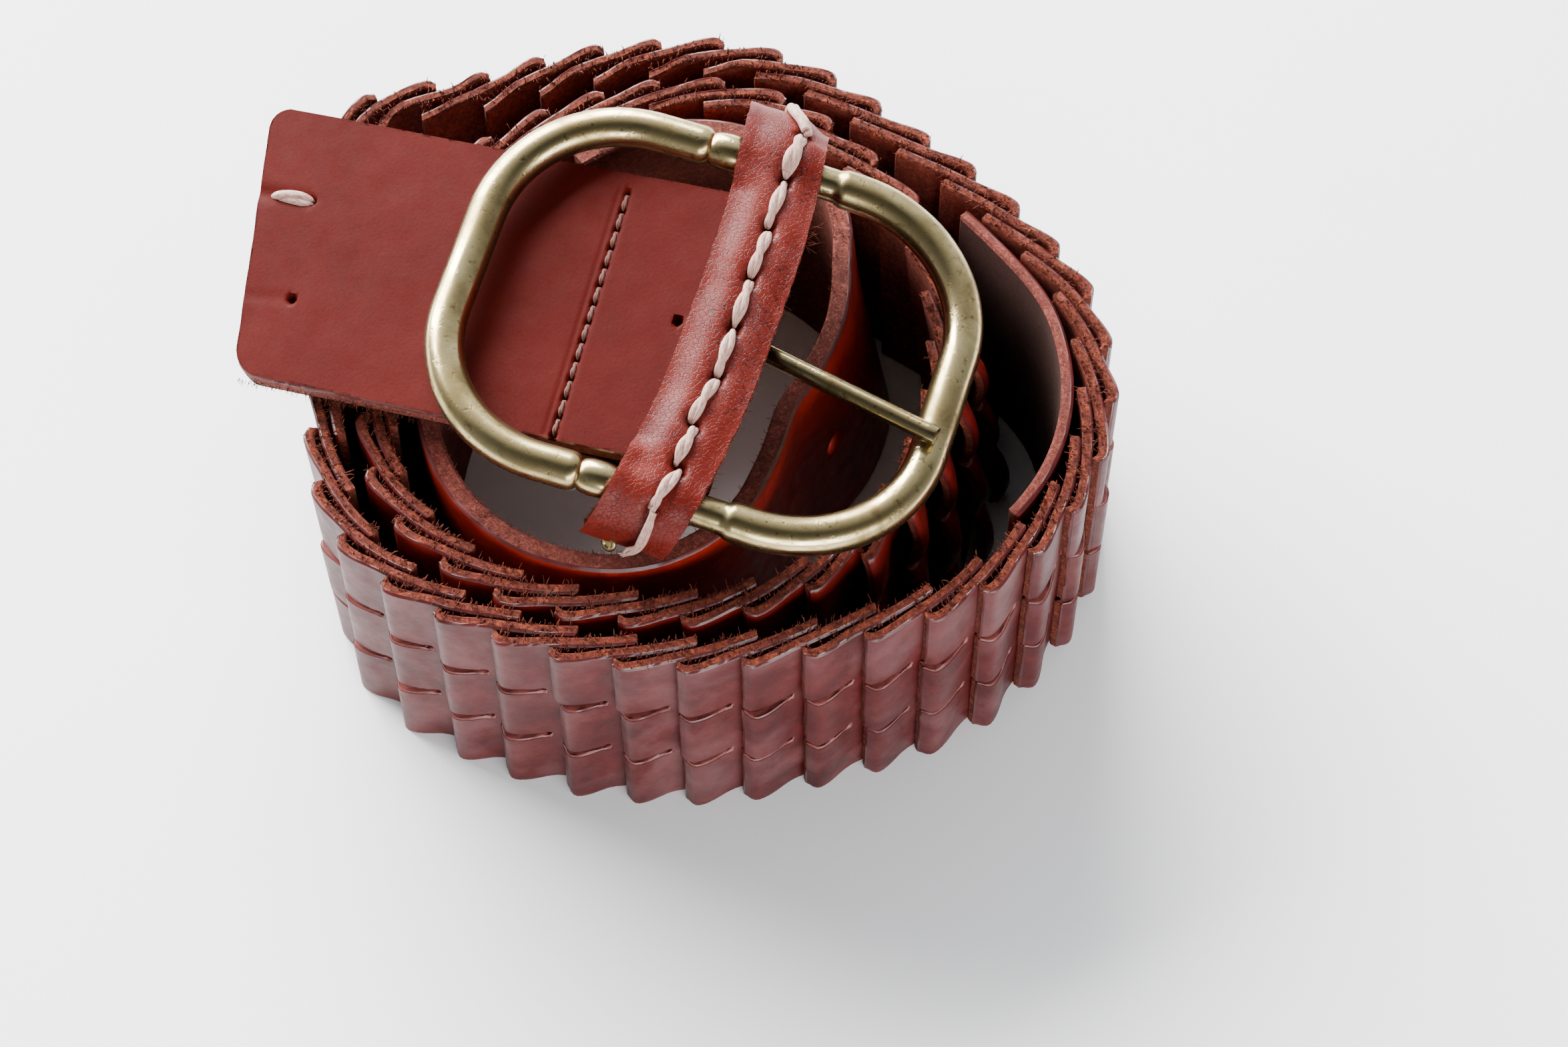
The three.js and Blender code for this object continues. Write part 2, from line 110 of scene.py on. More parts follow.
class Turn:
    """One turn of strap: where it runs in plan, and which way is out."""

    def __init__(self, rows, size, middle):
        self.rows = [(row[0], row[1], row[-1]) for row in rows]
        self.size = size
        self.middle = middle
        first, last = rows[0][0], rows[-1][0]
        self.angles = spread(first, last, int(math.ceil(first - last)))
        self.alongs = [0.0]
        for a, b in zip(self.angles, self.angles[1:]):
            self.alongs.append(self.alongs[-1] + (self.point(b, 1) - self.point(a, 1)).length)
        self.length = self.alongs[-1]

    def share(self, angle, column):
        """The reach as a share of the size, on a smooth curve through the rows. column: 1 top, 2 bottom."""
        rows = self.rows
        i = 0
        while i + 2 < len(rows) and angle < rows[i + 1][0]:
            i += 1
        before, start, end = rows[max(i - 1, 0)], rows[i], rows[i + 1]
        after = rows[min(i + 2, len(rows) - 1)]
        span = end[0] - start[0]
        t = (angle - start[0]) / span
        m0 = (end[column] - before[column]) / (end[0] - before[0]) * span
        m1 = (after[column] - start[column]) / (after[0] - start[0]) * span
        t2, t3 = t * t, t * t * t
        return ((2 * t3 - 3 * t2 + 1) * start[column] + (t3 - 2 * t2 + t) * m0
                + (3 * t2 - 2 * t3) * end[column] + (t3 - t2) * m1)

    def point(self, angle, column):
        reach = self.share(angle, column) * self.size
        turn = math.radians(angle)
        return Vector((self.middle[0] + reach * math.cos(turn), self.middle[1] + reach * math.sin(turn)))

    def angle_at(self, along):
        alongs = self.alongs
        low, high = 0, len(alongs) - 1
        while high - low > 1:
            mid = (low + high) // 2
            if alongs[mid] < along:
                low = mid
            else:
                high = mid
        part = (along - alongs[low]) / (alongs[high] - alongs[low])
        return self.angles[low] + part * (self.angles[high] - self.angles[low])

    def place(self, along, offset, z):
        """The point that far along the strap, that far out from its middle, at height z."""
        angle = self.angle_at(along)
        part = z / BELT_WIDTH

        def spot(a):
            return self.point(a, 2).lerp(self.point(a, 1), part)

        way = (spot(angle - 0.5) - spot(angle + 0.5)).normalized()
        here = spot(angle)
        return Vector((here.x - way.y * offset, here.y + way.x * offset, z)) + COIL_MIDDLE


OUTER = Turn(OUTER_TURN, COIL_RADIUS, (0.0, 0.0))
INNER = Turn(INNER_TURN, COIL_RADIUS, (0.0, 0.0))
COIL = Turn(OUTER_TURN + INNER_TURN[1:], COIL_RADIUS, (0.0, 0.0))
RING = Turn(BILLET_TURN, BILLET_RING, (-9.0, 1.0))


# ---- Meshes ----

class Build:
    """Collects faces in millimetres and makes one object of them."""

    def __init__(self):
        self.points = []
        self.faces = []
        self.slots = []
        self.uvs = []

    def add(self, points, faces, slots, uvs=None):
        base = len(self.points)
        self.points.extend(points)
        self.uvs.extend(uvs if uvs else [(0.0, 0.0)] * len(points))
        self.faces.extend(tuple(base + i for i in face) for face in faces)
        self.slots.extend(slots if isinstance(slots, list) else [slots] * len(faces))

    def make(self, name, materials, replaces=None, body="belt", sharp=42.0):
        """replaces: the CAD node that the piece stands for."""
        mesh = bpy.data.meshes.new(name)
        mesh.from_pydata([tuple(p * MM) for p in self.points], [], self.faces)
        layer = mesh.uv_layers.new(name="uv")
        for loop in mesh.loops:
            layer.data[loop.index].uv = self.uvs[loop.vertex_index]
        for material in materials:
            mesh.materials.append(material)
        for polygon, index in zip(mesh.polygons, self.slots):
            polygon.material_index = index
            polygon.use_smooth = True
        mesh.set_sharp_from_angle(angle=math.radians(sharp))
        mesh.validate()
        obj = bpy.data.objects.new(name, mesh)
        bpy.context.scene.collection.objects.link(obj)
        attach(obj, body)
        if replaces:
            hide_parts(replaces)
        return obj


# Material slots of a leather sheet; RIM is the slits' walls, painted paler as a highlight
GRAIN, SUEDE, DYED, RAW, RIM = range(5)
DYED_DEPTH = 0.13           # how far the dye runs down a cut edge under its bevel
EDGE_GRAIN = 0.5            # size of the roughness along cut edges


def sheet(build, flat, quads, thick, place, bevel, ragged, in_slit=None):
    """A leather sheet with rounded cut edges. flat: (u, v) points. place(u, v, w) gives the point in
    the part's frame, with w from -thick/2 at the flesh side to +thick/2 at the grain side.
    in_slit(a, b) says which border edges are slits, whose walls are painted paler than other cut edges as a
    highlight."""
    edges = dict.fromkeys(edge for quad in quads for edge in zip(quad, quad[1:] + quad[:1]))
    border = [(a, b) for (a, b) in edges if (b, a) not in edges]
    outward = {}
    for a, b in border:
        du, dv = flat[b][0] - flat[a][0], flat[b][1] - flat[a][1]
        size = math.hypot(du, dv) or 1.0
        for i in (a, b):
            way = outward.setdefault(i, [0.0, 0.0])
            way[0] += dv / size
            way[1] -= du / size
    for way in outward.values():
        size = math.hypot(*way) or 1.0
        way[:] = way[0] / size, way[1] / size
    half = thick / 2
    points = []
    for i, (u, v) in enumerate(flat):
        nu, nv = outward.get(i, (0.0, 0.0))
        points += [place(u - nu * bevel, v - nv * bevel, w) for w in (half, -half)]
    faces = []
    kinds = []
    for quad in quads:
        faces += [tuple(2 * i for i in quad), tuple(2 * i + 1 for i in reversed(quad))]
        kinds += [GRAIN, SUEDE]
    levels = [half - bevel, half - bevel - DYED_DEPTH, -half * 0.35, -half + bevel]
    walls = {}
    for i, (nu, nv) in outward.items():
        u, v = flat[i]
        walls[i] = [2 * i] + [len(points) + k for k in range(len(levels))] + [2 * i + 1]
        for k, w in enumerate(levels):
            push = ragged * rough(place(u, v, w), EDGE_GRAIN, 3.1 + k) if k in (1, 2) else 0.0
            points.append(place(u + nu * push, v + nv * push, w))
    for a, b in border:
        rim = in_slit is not None and in_slit(flat[a], flat[b])
        for k in range(len(levels) + 1):
            faces.append((walls[a][k], walls[a][k + 1], walls[b][k + 1], walls[b][k]))
            kinds.append(RIM if rim else DYED if k < 2 else RAW)
    build.add(points, faces, kinds)


def grid(us, vs):
    """Points and quads of a flat grid."""
    n = len(vs)
    quads = [(i * n + j, (i + 1) * n + j, (i + 1) * n + j + 1, i * n + j + 1)
             for i in range(len(us) - 1) for j in range(n - 1)]
    return [(u, v) for u in us for v in vs], quads


def ring_faces(first, second, sides):
    """Faces between two rings of points, by each ring's first point."""
    return [(first + j, first + k, second + k, second + j) for j, k in enumerate([*range(1, sides), 0])]


def tube(build, path, radii, sides, caps=True, squash=1.0, up=None):
    """A round bar along a path, whose first side is square to up. radii: one, or one for each point.
    UV: distance along, share of the way round."""
    path = [Vector(p) for p in path]
    count = len(path)
    if not isinstance(radii, list):
        radii = [radii] * count
    tangents = [(path[min(i + 1, count - 1)] - path[max(i - 1, 0)]).normalized() for i in range(count)]
    if up is None:
        up = (0, 0, 1) if abs(tangents[0].z) < 0.9 else (1, 0, 0)
    side = Vector(up).cross(tangents[0]).normalized()
    points, uvs, faces = [], [], []
    along = 0.0
    for i in range(count):
        if i:
            along += (path[i] - path[i - 1]).length
            side = (side - tangents[i] * side.dot(tangents[i])).normalized()
        other = tangents[i].cross(side)
        for j in range(sides):
            a = ROUND * (j / sides)
            points.append(path[i] + side * (math.cos(a) * radii[i])
                          + other * (math.sin(a) * radii[i] * squash))
            uvs.append((along, j / sides))
    for i in range(count - 1):
        faces += ring_faces(i * sides, (i + 1) * sides, sides)
    if caps:
        faces.append(tuple(reversed(range(sides))))
        faces.append(tuple((count - 1) * sides + j for j in range(sides)))
    build.add(points, faces, 0, uvs)


# ---- Materials ----

class Finish:
    """A material's nodes, with short calls for those that are used here."""

    def __init__(self, name):
        self.material = bpy.data.materials.new(name)
        self.material.use_nodes = True
        self.nodes, self.links = self.material.node_tree.nodes, self.material.node_tree.links
        coord = self.nodes.new("ShaderNodeTexCoord")
        self.place, self.uv = coord.outputs["Object"], coord.outputs["UV"]

    def put(self, node, values):
        """Links or sets a node's inputs. A tuple is a colour."""
        for name, value in values.items():
            if isinstance(value, bpy.types.NodeSocket):
                self.links.new(value, node.inputs[name])
            else:
                node.inputs[name].default_value = (*value, 1.0) if isinstance(value, tuple) else value

    def noise(self, scale, detail=4.0, roughness=0.55, distortion=0.0, vector=None, output="Fac"):
        node = self.nodes.new("ShaderNodeTexNoise")
        self.put(node, {"Vector": vector or self.place, "Scale": scale, "Detail": detail,
                        "Roughness": roughness, "Distortion": distortion})
        return node.outputs[output]

    def cells(self, scale, feature="F1", vector=None):
        node = self.nodes.new("ShaderNodeTexVoronoi")
        node.feature = feature
        self.put(node, {"Vector": vector or self.place, "Scale": scale})
        return node.outputs["Distance"]

    def ramp(self, value, *stops):
        """Colours by value. stops: (value, colour or grey)."""
        node = self.nodes.new("ShaderNodeValToRGB")
        elements = node.color_ramp.elements
        while len(elements) < len(stops):
            elements.new(0.5)
        for element, (position, colour) in zip(elements, stops):
            element.position = position
            element.color = (*colour, 1.0) if isinstance(colour, tuple) else (colour, colour, colour, 1.0)
        self.put(node, {"Fac": value})
        return node.outputs["Color"]

    def mix(self, share, a, b, mode="MIX"):
        node = self.nodes.new("ShaderNodeMix")
        node.data_type = "RGBA"
        node.blend_type = mode
        self.put(node, {0: share, 6: a, 7: b})
        return node.outputs[2]

    def surface(self, colour, height, strength, depth, values):
        """The finished material: its colour, its bump (depth in metres) and its other values."""
        node = self.nodes.new("ShaderNodeBump")
        self.put(node, {"Height": height, "Strength": strength, "Distance": depth})
        values = {"Base Color": colour, "Normal": node.outputs["Normal"], **values}
        self.put(self.nodes["Principled BSDF"], values)
        return self.material


def grain_leather(name, dark, middle, light, roughness, coat=0.05, specular=0.3, mottle=160.0, wear_and_sheen=0.0,
                  crackle=False):
    """Smooth dyed leather: mottled colour, fine pores, uneven gloss. A pale mauve-grey wash over random
    patches, up to the given share, stands partly for worn leather and partly for painted sheen, and crackle
    draws a net of fine cracks over most of it. mottle is the patches' scale, in waves a metre."""
    look = Finish(name)
    patches = look.noise(mottle, 6.0, 0.62, 0.5)
    fine = look.noise(2600.0, 3.0, 0.6)
    colour = look.ramp(patches, (0.28, dark), (0.5, middle), (0.74, light))
    colour = look.mix(0.5, colour, look.ramp(fine, (0.30, (0.62, 0.55, 0.55)), (0.55, 1.0)), "MULTIPLY")
    if wear_and_sheen:
        # Partly worn leather, partly painted sheen: a mauve-grey wash over random patches
        wear_and_sheen_wash = look.ramp(look.noise(75.0, 5.0, 0.6, 0.3), (0.46, 0.0), (0.72, wear_and_sheen))
        colour = look.mix(wear_and_sheen_wash, colour, (0.27, 0.14, 0.14))
    warped = look.mix(0.0012, look.place, look.noise(700.0, output="Color"), "ADD")
    if crackle:
        cracks = look.cells(1600.0, "DISTANCE_TO_EDGE", warped)
        cracks = look.ramp(cracks, (0.0, (0.25, 0.2, 0.2)), (0.09, 1.0))
        where = look.ramp(look.noise(110.0, 3.0), (0.40, 0.15), (0.60, 1.0))
        colour = look.mix(where, colour, look.mix(1.0, colour, cracks, "MULTIPLY"))
        height = look.mix(0.35, cracks, fine)
    else:
        height = look.mix(0.5, look.cells(2400.0, vector=warped), fine)
    gloss = look.ramp(look.noise(420.0), (0.3, roughness[0]), (0.7, roughness[1]))
    return look.surface(colour, height, 0.55 if crackle else 0.3, 0.00012 if crackle else 0.00007, {
        "Roughness": gloss, "Specular IOR Level": specular, "Coat Weight": coat, "Coat Roughness": 0.28})


def fibre_leather(name, dark, middle, light, scale=1500.0, strength=0.9, depth=0.0003):
    """Flesh side or raw cut edge: short fibres, no gloss."""
    look = Finish(name)
    fibres = look.noise(scale, 6.0, 0.75, 1.2)
    colour = look.ramp(fibres, (0.32, dark), (0.5, middle), (0.68, light))
    shade = look.ramp(look.noise(260.0, 4.0, 0.6), (0.3, (0.74, 0.68, 0.66)), (0.62, (1.08, 1.02, 1.0)))
    return look.surface(look.mix(0.8, colour, shade, "MULTIPLY"), fibres, strength, depth, {
        "Roughness": 0.88, "Specular IOR Level": 0.25, "Sheen Weight": 0.04, "Sheen Roughness": 0.5,
        "Sheen Tint": (1.0, 0.6, 0.45)})


def antique_brass(name, tarnish, shade):
    """Brass clouded with tarnish, with dark pits and freckles. shade: how light it is."""
    look = Finish(name)
    clouds = look.noise(130.0, 6.0, 0.62, 0.6)
    tones = ((0.30, (0.12, 0.085, 0.034)), (0.48, (0.30, 0.235, 0.11)), (0.66, (0.50, 0.41, 0.21)))
    clean = look.ramp(clouds, *[(at, tuple(part * shade for part in tone)) for at, tone in tones])
    dirt = look.ramp(look.noise(900.0, 5.0, 0.7), (0.56, 1.0), (0.68, (0.30, 0.24, 0.15)))
    freckles = look.ramp(look.cells(520.0), (0.06, (0.22, 0.17, 0.10)), (0.13, 1.0))
    colour = look.mix(0.55, look.mix(tarnish, clean, dirt, "MULTIPLY"), freckles, "MULTIPLY")
    return look.surface(colour, look.mix(0.5, dirt, freckles), 0.35, 0.00008, {
        "Metallic": 1.0, "Roughness": look.ramp(clouds, (0.3, 0.36), (0.65, 0.17))})


def waxed_thread(name, dark, light):
    """Thread whose fibres run along it."""
    look = Finish(name)
    stretched = look.nodes.new("ShaderNodeMapping")
    stretched.inputs["Scale"].default_value = (0.55, 9.0, 1.0)
    look.links.new(look.uv, stretched.inputs["Vector"])
    fibres = look.noise(2.0, 4.0, 0.7, vector=stretched.outputs["Vector"])
    return look.surface(look.ramp(fibres, (0.34, dark), (0.62, light)), fibres, 0.7, 0.00015, {
        "Roughness": 0.6, "Sheen Weight": 0.08, "Subsurface Weight": 0.05})


BRAID_GRAIN = grain_leather("braid_grain", (0.034, 0.0024, 0.0022), (0.058, 0.0050, 0.0048),
                            (0.088, 0.012, 0.0115), (0.38, 0.52), coat=0.03, specular=0.16, wear_and_sheen=0.22)
INNER_GRAIN = grain_leather("inner_grain", (0.060, 0.0020, 0.0013), (0.105, 0.0045, 0.003),
                            (0.165, 0.010, 0.007), (0.34, 0.48), specular=0.22)
# Painted highlight: a pale pinkish grain for the slits' walls, whose rounded lips catch the light
SLIT_RIM_HIGHLIGHT = grain_leather("slit_rim_highlight", (0.10, 0.018, 0.015), (0.19, 0.050, 0.044), (0.28, 0.090, 0.080),
                         (0.34, 0.5))
DYED_EDGE = grain_leather("dyed_edge", (0.032, 0.001, 0.001), (0.06, 0.002, 0.0015), (0.09, 0.005, 0.004),
                          (0.35, 0.5), coat=0.1, specular=0.45)
STRAP_GRAIN = grain_leather("strap_grain", (0.044, 0.0019, 0.0009), (0.052, 0.0026, 0.0013),
                            (0.061, 0.0040, 0.0022), (0.50, 0.62), coat=0.0, specular=0.04, mottle=60.0)
BILLET_GRAIN = grain_leather("billet_grain", (0.14, 0.004, 0.0015), (0.24, 0.009, 0.003),
                             (0.36, 0.022, 0.009), (0.34, 0.5), specular=0.35, mottle=120.0)
WRAP_GRAIN = grain_leather("wrap_grain", (0.080, 0.0032, 0.0009), (0.113, 0.0080, 0.0043),
                           (0.15, 0.018, 0.012), (0.33, 0.45), coat=0.0, specular=0.16, mottle=130.0,
                           wear_and_sheen=0.12, crackle=True)
BRAID_SUEDE = fibre_leather("braid_suede", (0.055, 0.0050, 0.0022), (0.17, 0.023, 0.011),
                             (0.36, 0.074, 0.040))
STRAP_SUEDE = fibre_leather("strap_suede", (0.045, 0.006, 0.003), (0.10, 0.016, 0.009),
                            (0.20, 0.045, 0.028))
# Painted shade: a near-black copy of the strap's flesh side, for the flesh sides of the band and the tab,
# which lie in shadow
PAINTED_SHADE_SUEDE = fibre_leather("painted_shade_suede", (0.010, 0.0012, 0.0008), (0.022, 0.003, 0.002),
                             (0.05, 0.009, 0.006))
RAW_EDGE = fibre_leather("raw_edge", (0.030, 0.003, 0.001), (0.12, 0.016, 0.006), (0.34, 0.072, 0.028),
                         1100.0, 1.0, 0.0006)
STRAP_EDGE = fibre_leather("strap_edge", (0.045, 0.006, 0.004), (0.12, 0.022, 0.014), (0.28, 0.075, 0.055),
                           1700.0)
BRASS = antique_brass("antique_brass", 0.7, 1.15)
# The prong's brass: more of the tarnish mix, and darker all over as painted shade, for the prong lies in
# shadow by the wrap
SHADED_PRONG_BRASS = antique_brass("prong_brass_painted_shade", 0.9, 0.6)
THREAD = waxed_thread("thread", (0.20, 0.075, 0.05), (0.56, 0.35, 0.28))
SEAM_THREAD = waxed_thread("seam_thread", (0.035, 0.005, 0.0015), (0.13, 0.025, 0.008))

OUTER_LEATHER = [BRAID_GRAIN, BRAID_SUEDE, DYED_EDGE, RAW_EDGE, SLIT_RIM_HIGHLIGHT]
INNER_LEATHER = [INNER_GRAIN, BRAID_SUEDE, DYED_EDGE, RAW_EDGE, SLIT_RIM_HIGHLIGHT]
STRAP_LEATHER = [STRAP_GRAIN, PAINTED_SHADE_SUEDE, DYED_EDGE, STRAP_EDGE]
BILLET_LEATHER = [BILLET_GRAIN, STRAP_SUEDE, DYED_EDGE, STRAP_EDGE]
WRAP_LEATHER = [WRAP_GRAIN, STRAP_SUEDE, DYED_EDGE, RAW_EDGE]


# ---- Braid ----

def plate_layout():
    """A plate's flat points and quads: a full base, then three fingers with a round hole between them."""
    arc = (-1.0, -0.75, 0.0, 0.75, 1.0)
    row_shares = (0.06, 0.16, 0.34, 0.5, 0.66, 0.84, 0.94)
    # Heights of the base's columns, and for each its place on a hole's arc, if any
    vs = [(0.0, None)]
    for r in range(ROWS):
        low = ROW_HEIGHT * r
        if r:
            vs.extend((low + SLIT_HOLE * a, a) for a in arc)
        high = ROW_HEIGHT * (r + 1) if r < ROWS - 1 else BELT_WIDTH
        vs.extend((low + (high - low) * share, None) for share in row_shares)
    vs.append((BELT_WIDTH, None))
    n = len(vs)
    us = spread(0.0, SLIT_ROOT - 1.6, 6) + [SLIT_ROOT - 0.8]
    flat = [(u, v) for u in us for v, a in vs]
    for v, a in vs:
        flat.append((SLIT_ROOT - (0.0 if a is None else SLIT_HOLE * math.sqrt(max(0.0, 1 - a * a))), v))
    quads = [(i * n + j, (i + 1) * n + j, (i + 1) * n + j + 1, i * n + j + 1)
             for i in range(len(us)) for j in range(n - 1)]
    # Fingers, each between the edges of two holes
    past_hole = 0.55
    finger_shares = (0.12, 0.28, 0.42, 0.54, 0.66, 0.76, 0.85, 0.92, 0.97, 1.0)
    steps = [0.3, past_hole] + [past_hole + (PLATE_LENGTH - SLIT_ROOT - past_hole) * share
                                for share in finger_shares]
    groups = [[]]
    for j, (v, a) in enumerate(vs):
        if a is None or abs(a) == 1.0:
            groups[-1].append(j)
        if a == -1.0:
            groups.append([])
    for r, group in enumerate(groups):
        low, high = vs[group[0]][0], vs[group[-1]][0]
        previous = [len(us) * n + j for j in group]
        for step in steps:
            reach = SLIT_HOLE - math.sqrt(max(0.0, SLIT_HOLE ** 2 - step ** 2))
            grow = min(reach, SLIT_HOLE - SLIT_HALF)
            bottom = low - (grow if r else 0.0)
            top = high + (grow if r < ROWS - 1 else 0.0)
            row = [len(flat) + k for k in range(len(group))]
            flat += [(SLIT_ROOT + step, bottom + (top - bottom) * ((vs[j][0] - low) / (high - low)))
                     for j in group]
            quads += [(previous[k], row[k], row[k + 1], previous[k + 1]) for k in range(len(group) - 1)]
            previous = row
    return flat, quads


PLATE_FLAT, PLATE_QUADS = plate_layout()


def in_slit(a, b):
    margin = 0.1
    return all(margin < v < BELT_WIDTH - margin and margin < u < PLATE_LENGTH - 0.01 for u, v in (a, b))


def plate_middles(turn, bare, before=0.0):
    start = bare + PLATE_LENGTH / 2
    count = int((turn.length - PLATE_LENGTH / 2 - start) // PLATE_PITCH)
    return [before + start + i * PLATE_PITCH for i in range(count + 1)]


# The plates run on from turn to turn, with one more on each side of where the turns meet
OUTER_PLATES = plate_middles(OUTER, BARE_START["outer"])
INNER_PLATES = plate_middles(INNER, BARE_START["inner"], OUTER.length)
between = (INNER_PLATES[0] - OUTER_PLATES[-1]) / 3
OUTER_PLATES.append(OUTER_PLATES[-1] + between)
INNER_PLATES.insert(0, INNER_PLATES[0] - between)

FINGER_START = SLIT_ROOT - 1.0
ROW_BULGES = (1.25, 1.0, 0.5)       # from the lowest row up
TIP_CURL = 0.4


def braid(name, middles, materials, replaces):
    """Plates along the coil. Their free ends are three fingers that stand out between the slits."""
    build = Build()
    for i, middle in enumerate(middles):
        dice = random.Random(f"{name}{i}")
        angle = COIL.angle_at(middle)
        slide = [dice.uniform(-0.35, 0.35) for _ in range(ROWS)]
        bulges = [bulge * dice.uniform(0.8, 1.15) for bulge in ROW_BULGES]
        tilt = dice.uniform(-0.12, 0.12)
        # At the back left the hidden ends stand off the turn's inside
        stand_in = 1.3 * smooth(60, 85, angle) * smooth(160, 140, angle)
        # At the right of the inner turn the fingers arch outwards and leave pockets under them
        pocket = 2.3 * smooth(-298, -325, angle) * smooth(-428, -400, angle) * dice.uniform(0.85, 1.1)
        flatten = 1 - 0.8 * min(pocket, 1.0)

        def place(u, v, w):
            share = u / PLATE_LENGTH
            row = min(int(v / ROW_HEIGHT), ROWS - 1)
            out = (u - FINGER_START) / (PLATE_LENGTH - FINGER_START)
            offset = PLATE_LEAN * (share - 0.5) + w + tilt * (v / BELT_WIDTH - 0.5) * share
            offset -= stand_in * smooth(5.5, 0.0, u)
            offset += bulges[row] * flatten * smooth(0.0, 0.70, out) * (1 - 0.95 * smooth(0.76, 1.0, out))
            offset -= TIP_CURL * smooth(0.88, 1.0, out)
            across = 2 * (v / ROW_HEIGHT - row) - 1
            offset += pocket * smooth(0.0, 0.9, out) * (1 - 0.75 * across ** 2)
            along = middle + u - PLATE_LENGTH / 2 + slide[row] * smooth(SLIT_ROOT, PLATE_LENGTH, u)
            return COIL.place(min(max(along, 0.01), COIL.length - 0.01), offset, v)

        sheet(build, PLATE_FLAT, PLATE_QUADS, PLATE_THICK, place, bevel=0.24, ragged=0.26, in_slit=in_slit)
    build.make(name, materials, replaces=replaces)


braid("braid_outer_plates", OUTER_PLATES, OUTER_LEATHER, "braid_outer")
braid("braid_inner_plates", INNER_PLATES, INNER_LEATHER, "braid_inner")


# ---- Smooth straps in the coil ----

PRONG_HOLES = 4
HOLE_PITCH = 25.0
HOLE_RADIUS = 2.0
BAND_THICK = 1.6


def coil_strap(name, turn, start, end, offset, thick, materials, replaces, holes=()):
    """A smooth strap on edge, with the grain side out."""
    build = Build()
    vs = [0.0, 0.5, 1.5] + spread(3.0, BELT_WIDTH - 3.0, 14) + [BELT_WIDTH - e for e in (1.5, 0.5, 0.0)]
    flat, quads = grid(spread(start, end, int((end - start) / 1.6)), vs)

    def place(u, v, w):
        point = turn.place(u, offset + w, v)
        return point + Vector((rough(point, 14.0, 1.7), rough(point, 14.0, 5.2), 0)) * 0.12

    sheet(build, flat, quads, thick, place, bevel=0.35, ragged=0.14)
    obj = build.make(name, materials, replaces=replaces)
    for along in holes:
        middle = turn.place(along, 0.0, BELT_WIDTH / 2)
        way = (turn.place(along, 1.0, BELT_WIDTH / 2) - middle).normalized()
        cutter = Build()
        tube(cutter, [middle - way * 5, middle + way * 5], HOLE_RADIUS, sides=28)
        tool = cutter.make(f"{name}_cutter", materials)
        cut = obj.modifiers.new("hole", "BOOLEAN")
        cut.object = tool
        cut.solver = "EXACT"
        bpy.context.view_layer.objects.active = obj
        with bpy.context.temp_override(object=obj, active_object=obj):
            bpy.ops.object.modifier_apply(modifier=cut.name)
        bpy.data.objects.remove(tool)


def along_of(turn, angle):
    return next(a for a, t in zip(turn.alongs, turn.angles) if t <= angle)


first_hole = along_of(RING, -10)
coil_strap("billet_strap", RING, 0.0, RING.length - 0.01, 0.0, STRAP_THICK, BILLET_LEATHER, "billet",
           [first_hole + HOLE_PITCH * i for i in range(PRONG_HOLES)])
# The band lies inside the outer turn at the right
inset = PLATE_LEAN / 2 + PLATE_THICK / 2 + PIECE_GAP + BAND_THICK / 2
coil_strap("inner_strap_band", OUTER, along_of(OUTER, 32), along_of(OUTER, -34), -inset, BAND_THICK,
           STRAP_LEATHER, "inner_strap")


# ---- Buckle end ----

roll, climb, yaw = (math.radians(a) for a in TAB_TURN)
TAB_AXES = Matrix.Rotation(yaw, 3, "Z") @ Matrix.Rotation(-climb, 3, "Y") @ Matrix.Rotation(roll, 3, "X")
TAB_ORIGIN = TAB_PLACE + COIL_MIDDLE
TAB_UP = TAB_AXES @ Vector((0, 0, 1))
PITCH = math.radians(FRAME_PITCH)


def buckle_point(x, y, z):
    return TAB_ORIGIN + TAB_AXES @ Vector((x, y, z))


def pitched(x, y, z):
    """A point on the wrap's axes, which drop to the right with the frame."""
    drop, run = math.sin(PITCH), math.cos(PITCH)
    return buckle_point(x * run + z * drop, y, -x * drop + z * run)


WIRE_MIDDLE = BUCKLE_WIDTH / 2 - WIRE_RADIUS
END_LEFT = BUCKLE_LENGTH / 2 - WIRE_RADIUS + BAR_OFFSET
END_RIGHT = BUCKLE_LENGTH / 2 - WIRE_RADIUS - BAR_OFFSET
BAR_HEIGHT = -(STRAP_THICK + PIECE_GAP + BAR_RADIUS)


def frame_height(x):
    end = END_LEFT if x < 0 else END_RIGHT
    return -NECK_RADIUS - math.tan(PITCH) * x - ARCH_RISE * (x / end) ** 2


def frame_loop():
    """Points round the frame, anticlockwise from the far side wire: its corners and the lines between."""
    flat = WIRE_MIDDLE - CORNER_RADIUS
    left, right = -(END_LEFT - CORNER_RADIUS), END_RIGHT - CORNER_RADIUS
    corners = []
    for x, y, start in ((left, flat, 90), (left, -flat, 180), (right, -flat, 270), (right, flat, 0)):
        turns = [math.radians(a) for a in spread(start, start + 90, 22)]
        corners.append([(x + CORNER_RADIUS * math.cos(a), y + CORNER_RADIUS * math.sin(a)) for a in turns])
    points = []
    for corner, after, steps in zip(corners, corners[1:] + corners[:1], (8, 90, 8, 90)):
        points += corner + list(zip(*(spread(a, b, steps) for a, b in zip(corner[-1], after[0]))))[1:-1]
    return points


# Along each side wire from left to right: a shoulder, a groove, a bead, the neck, and thick again
BEAD_NEAR = -7.3
BEAD_FAR = -5.6
BEAD_HALF = 2.35
GROOVE_RADIUS = 1.75
NECK_END = 8.0
TAPER_END = 9.2


def rounded(share):
    return math.sqrt(max(0.0, 1 - share * share))


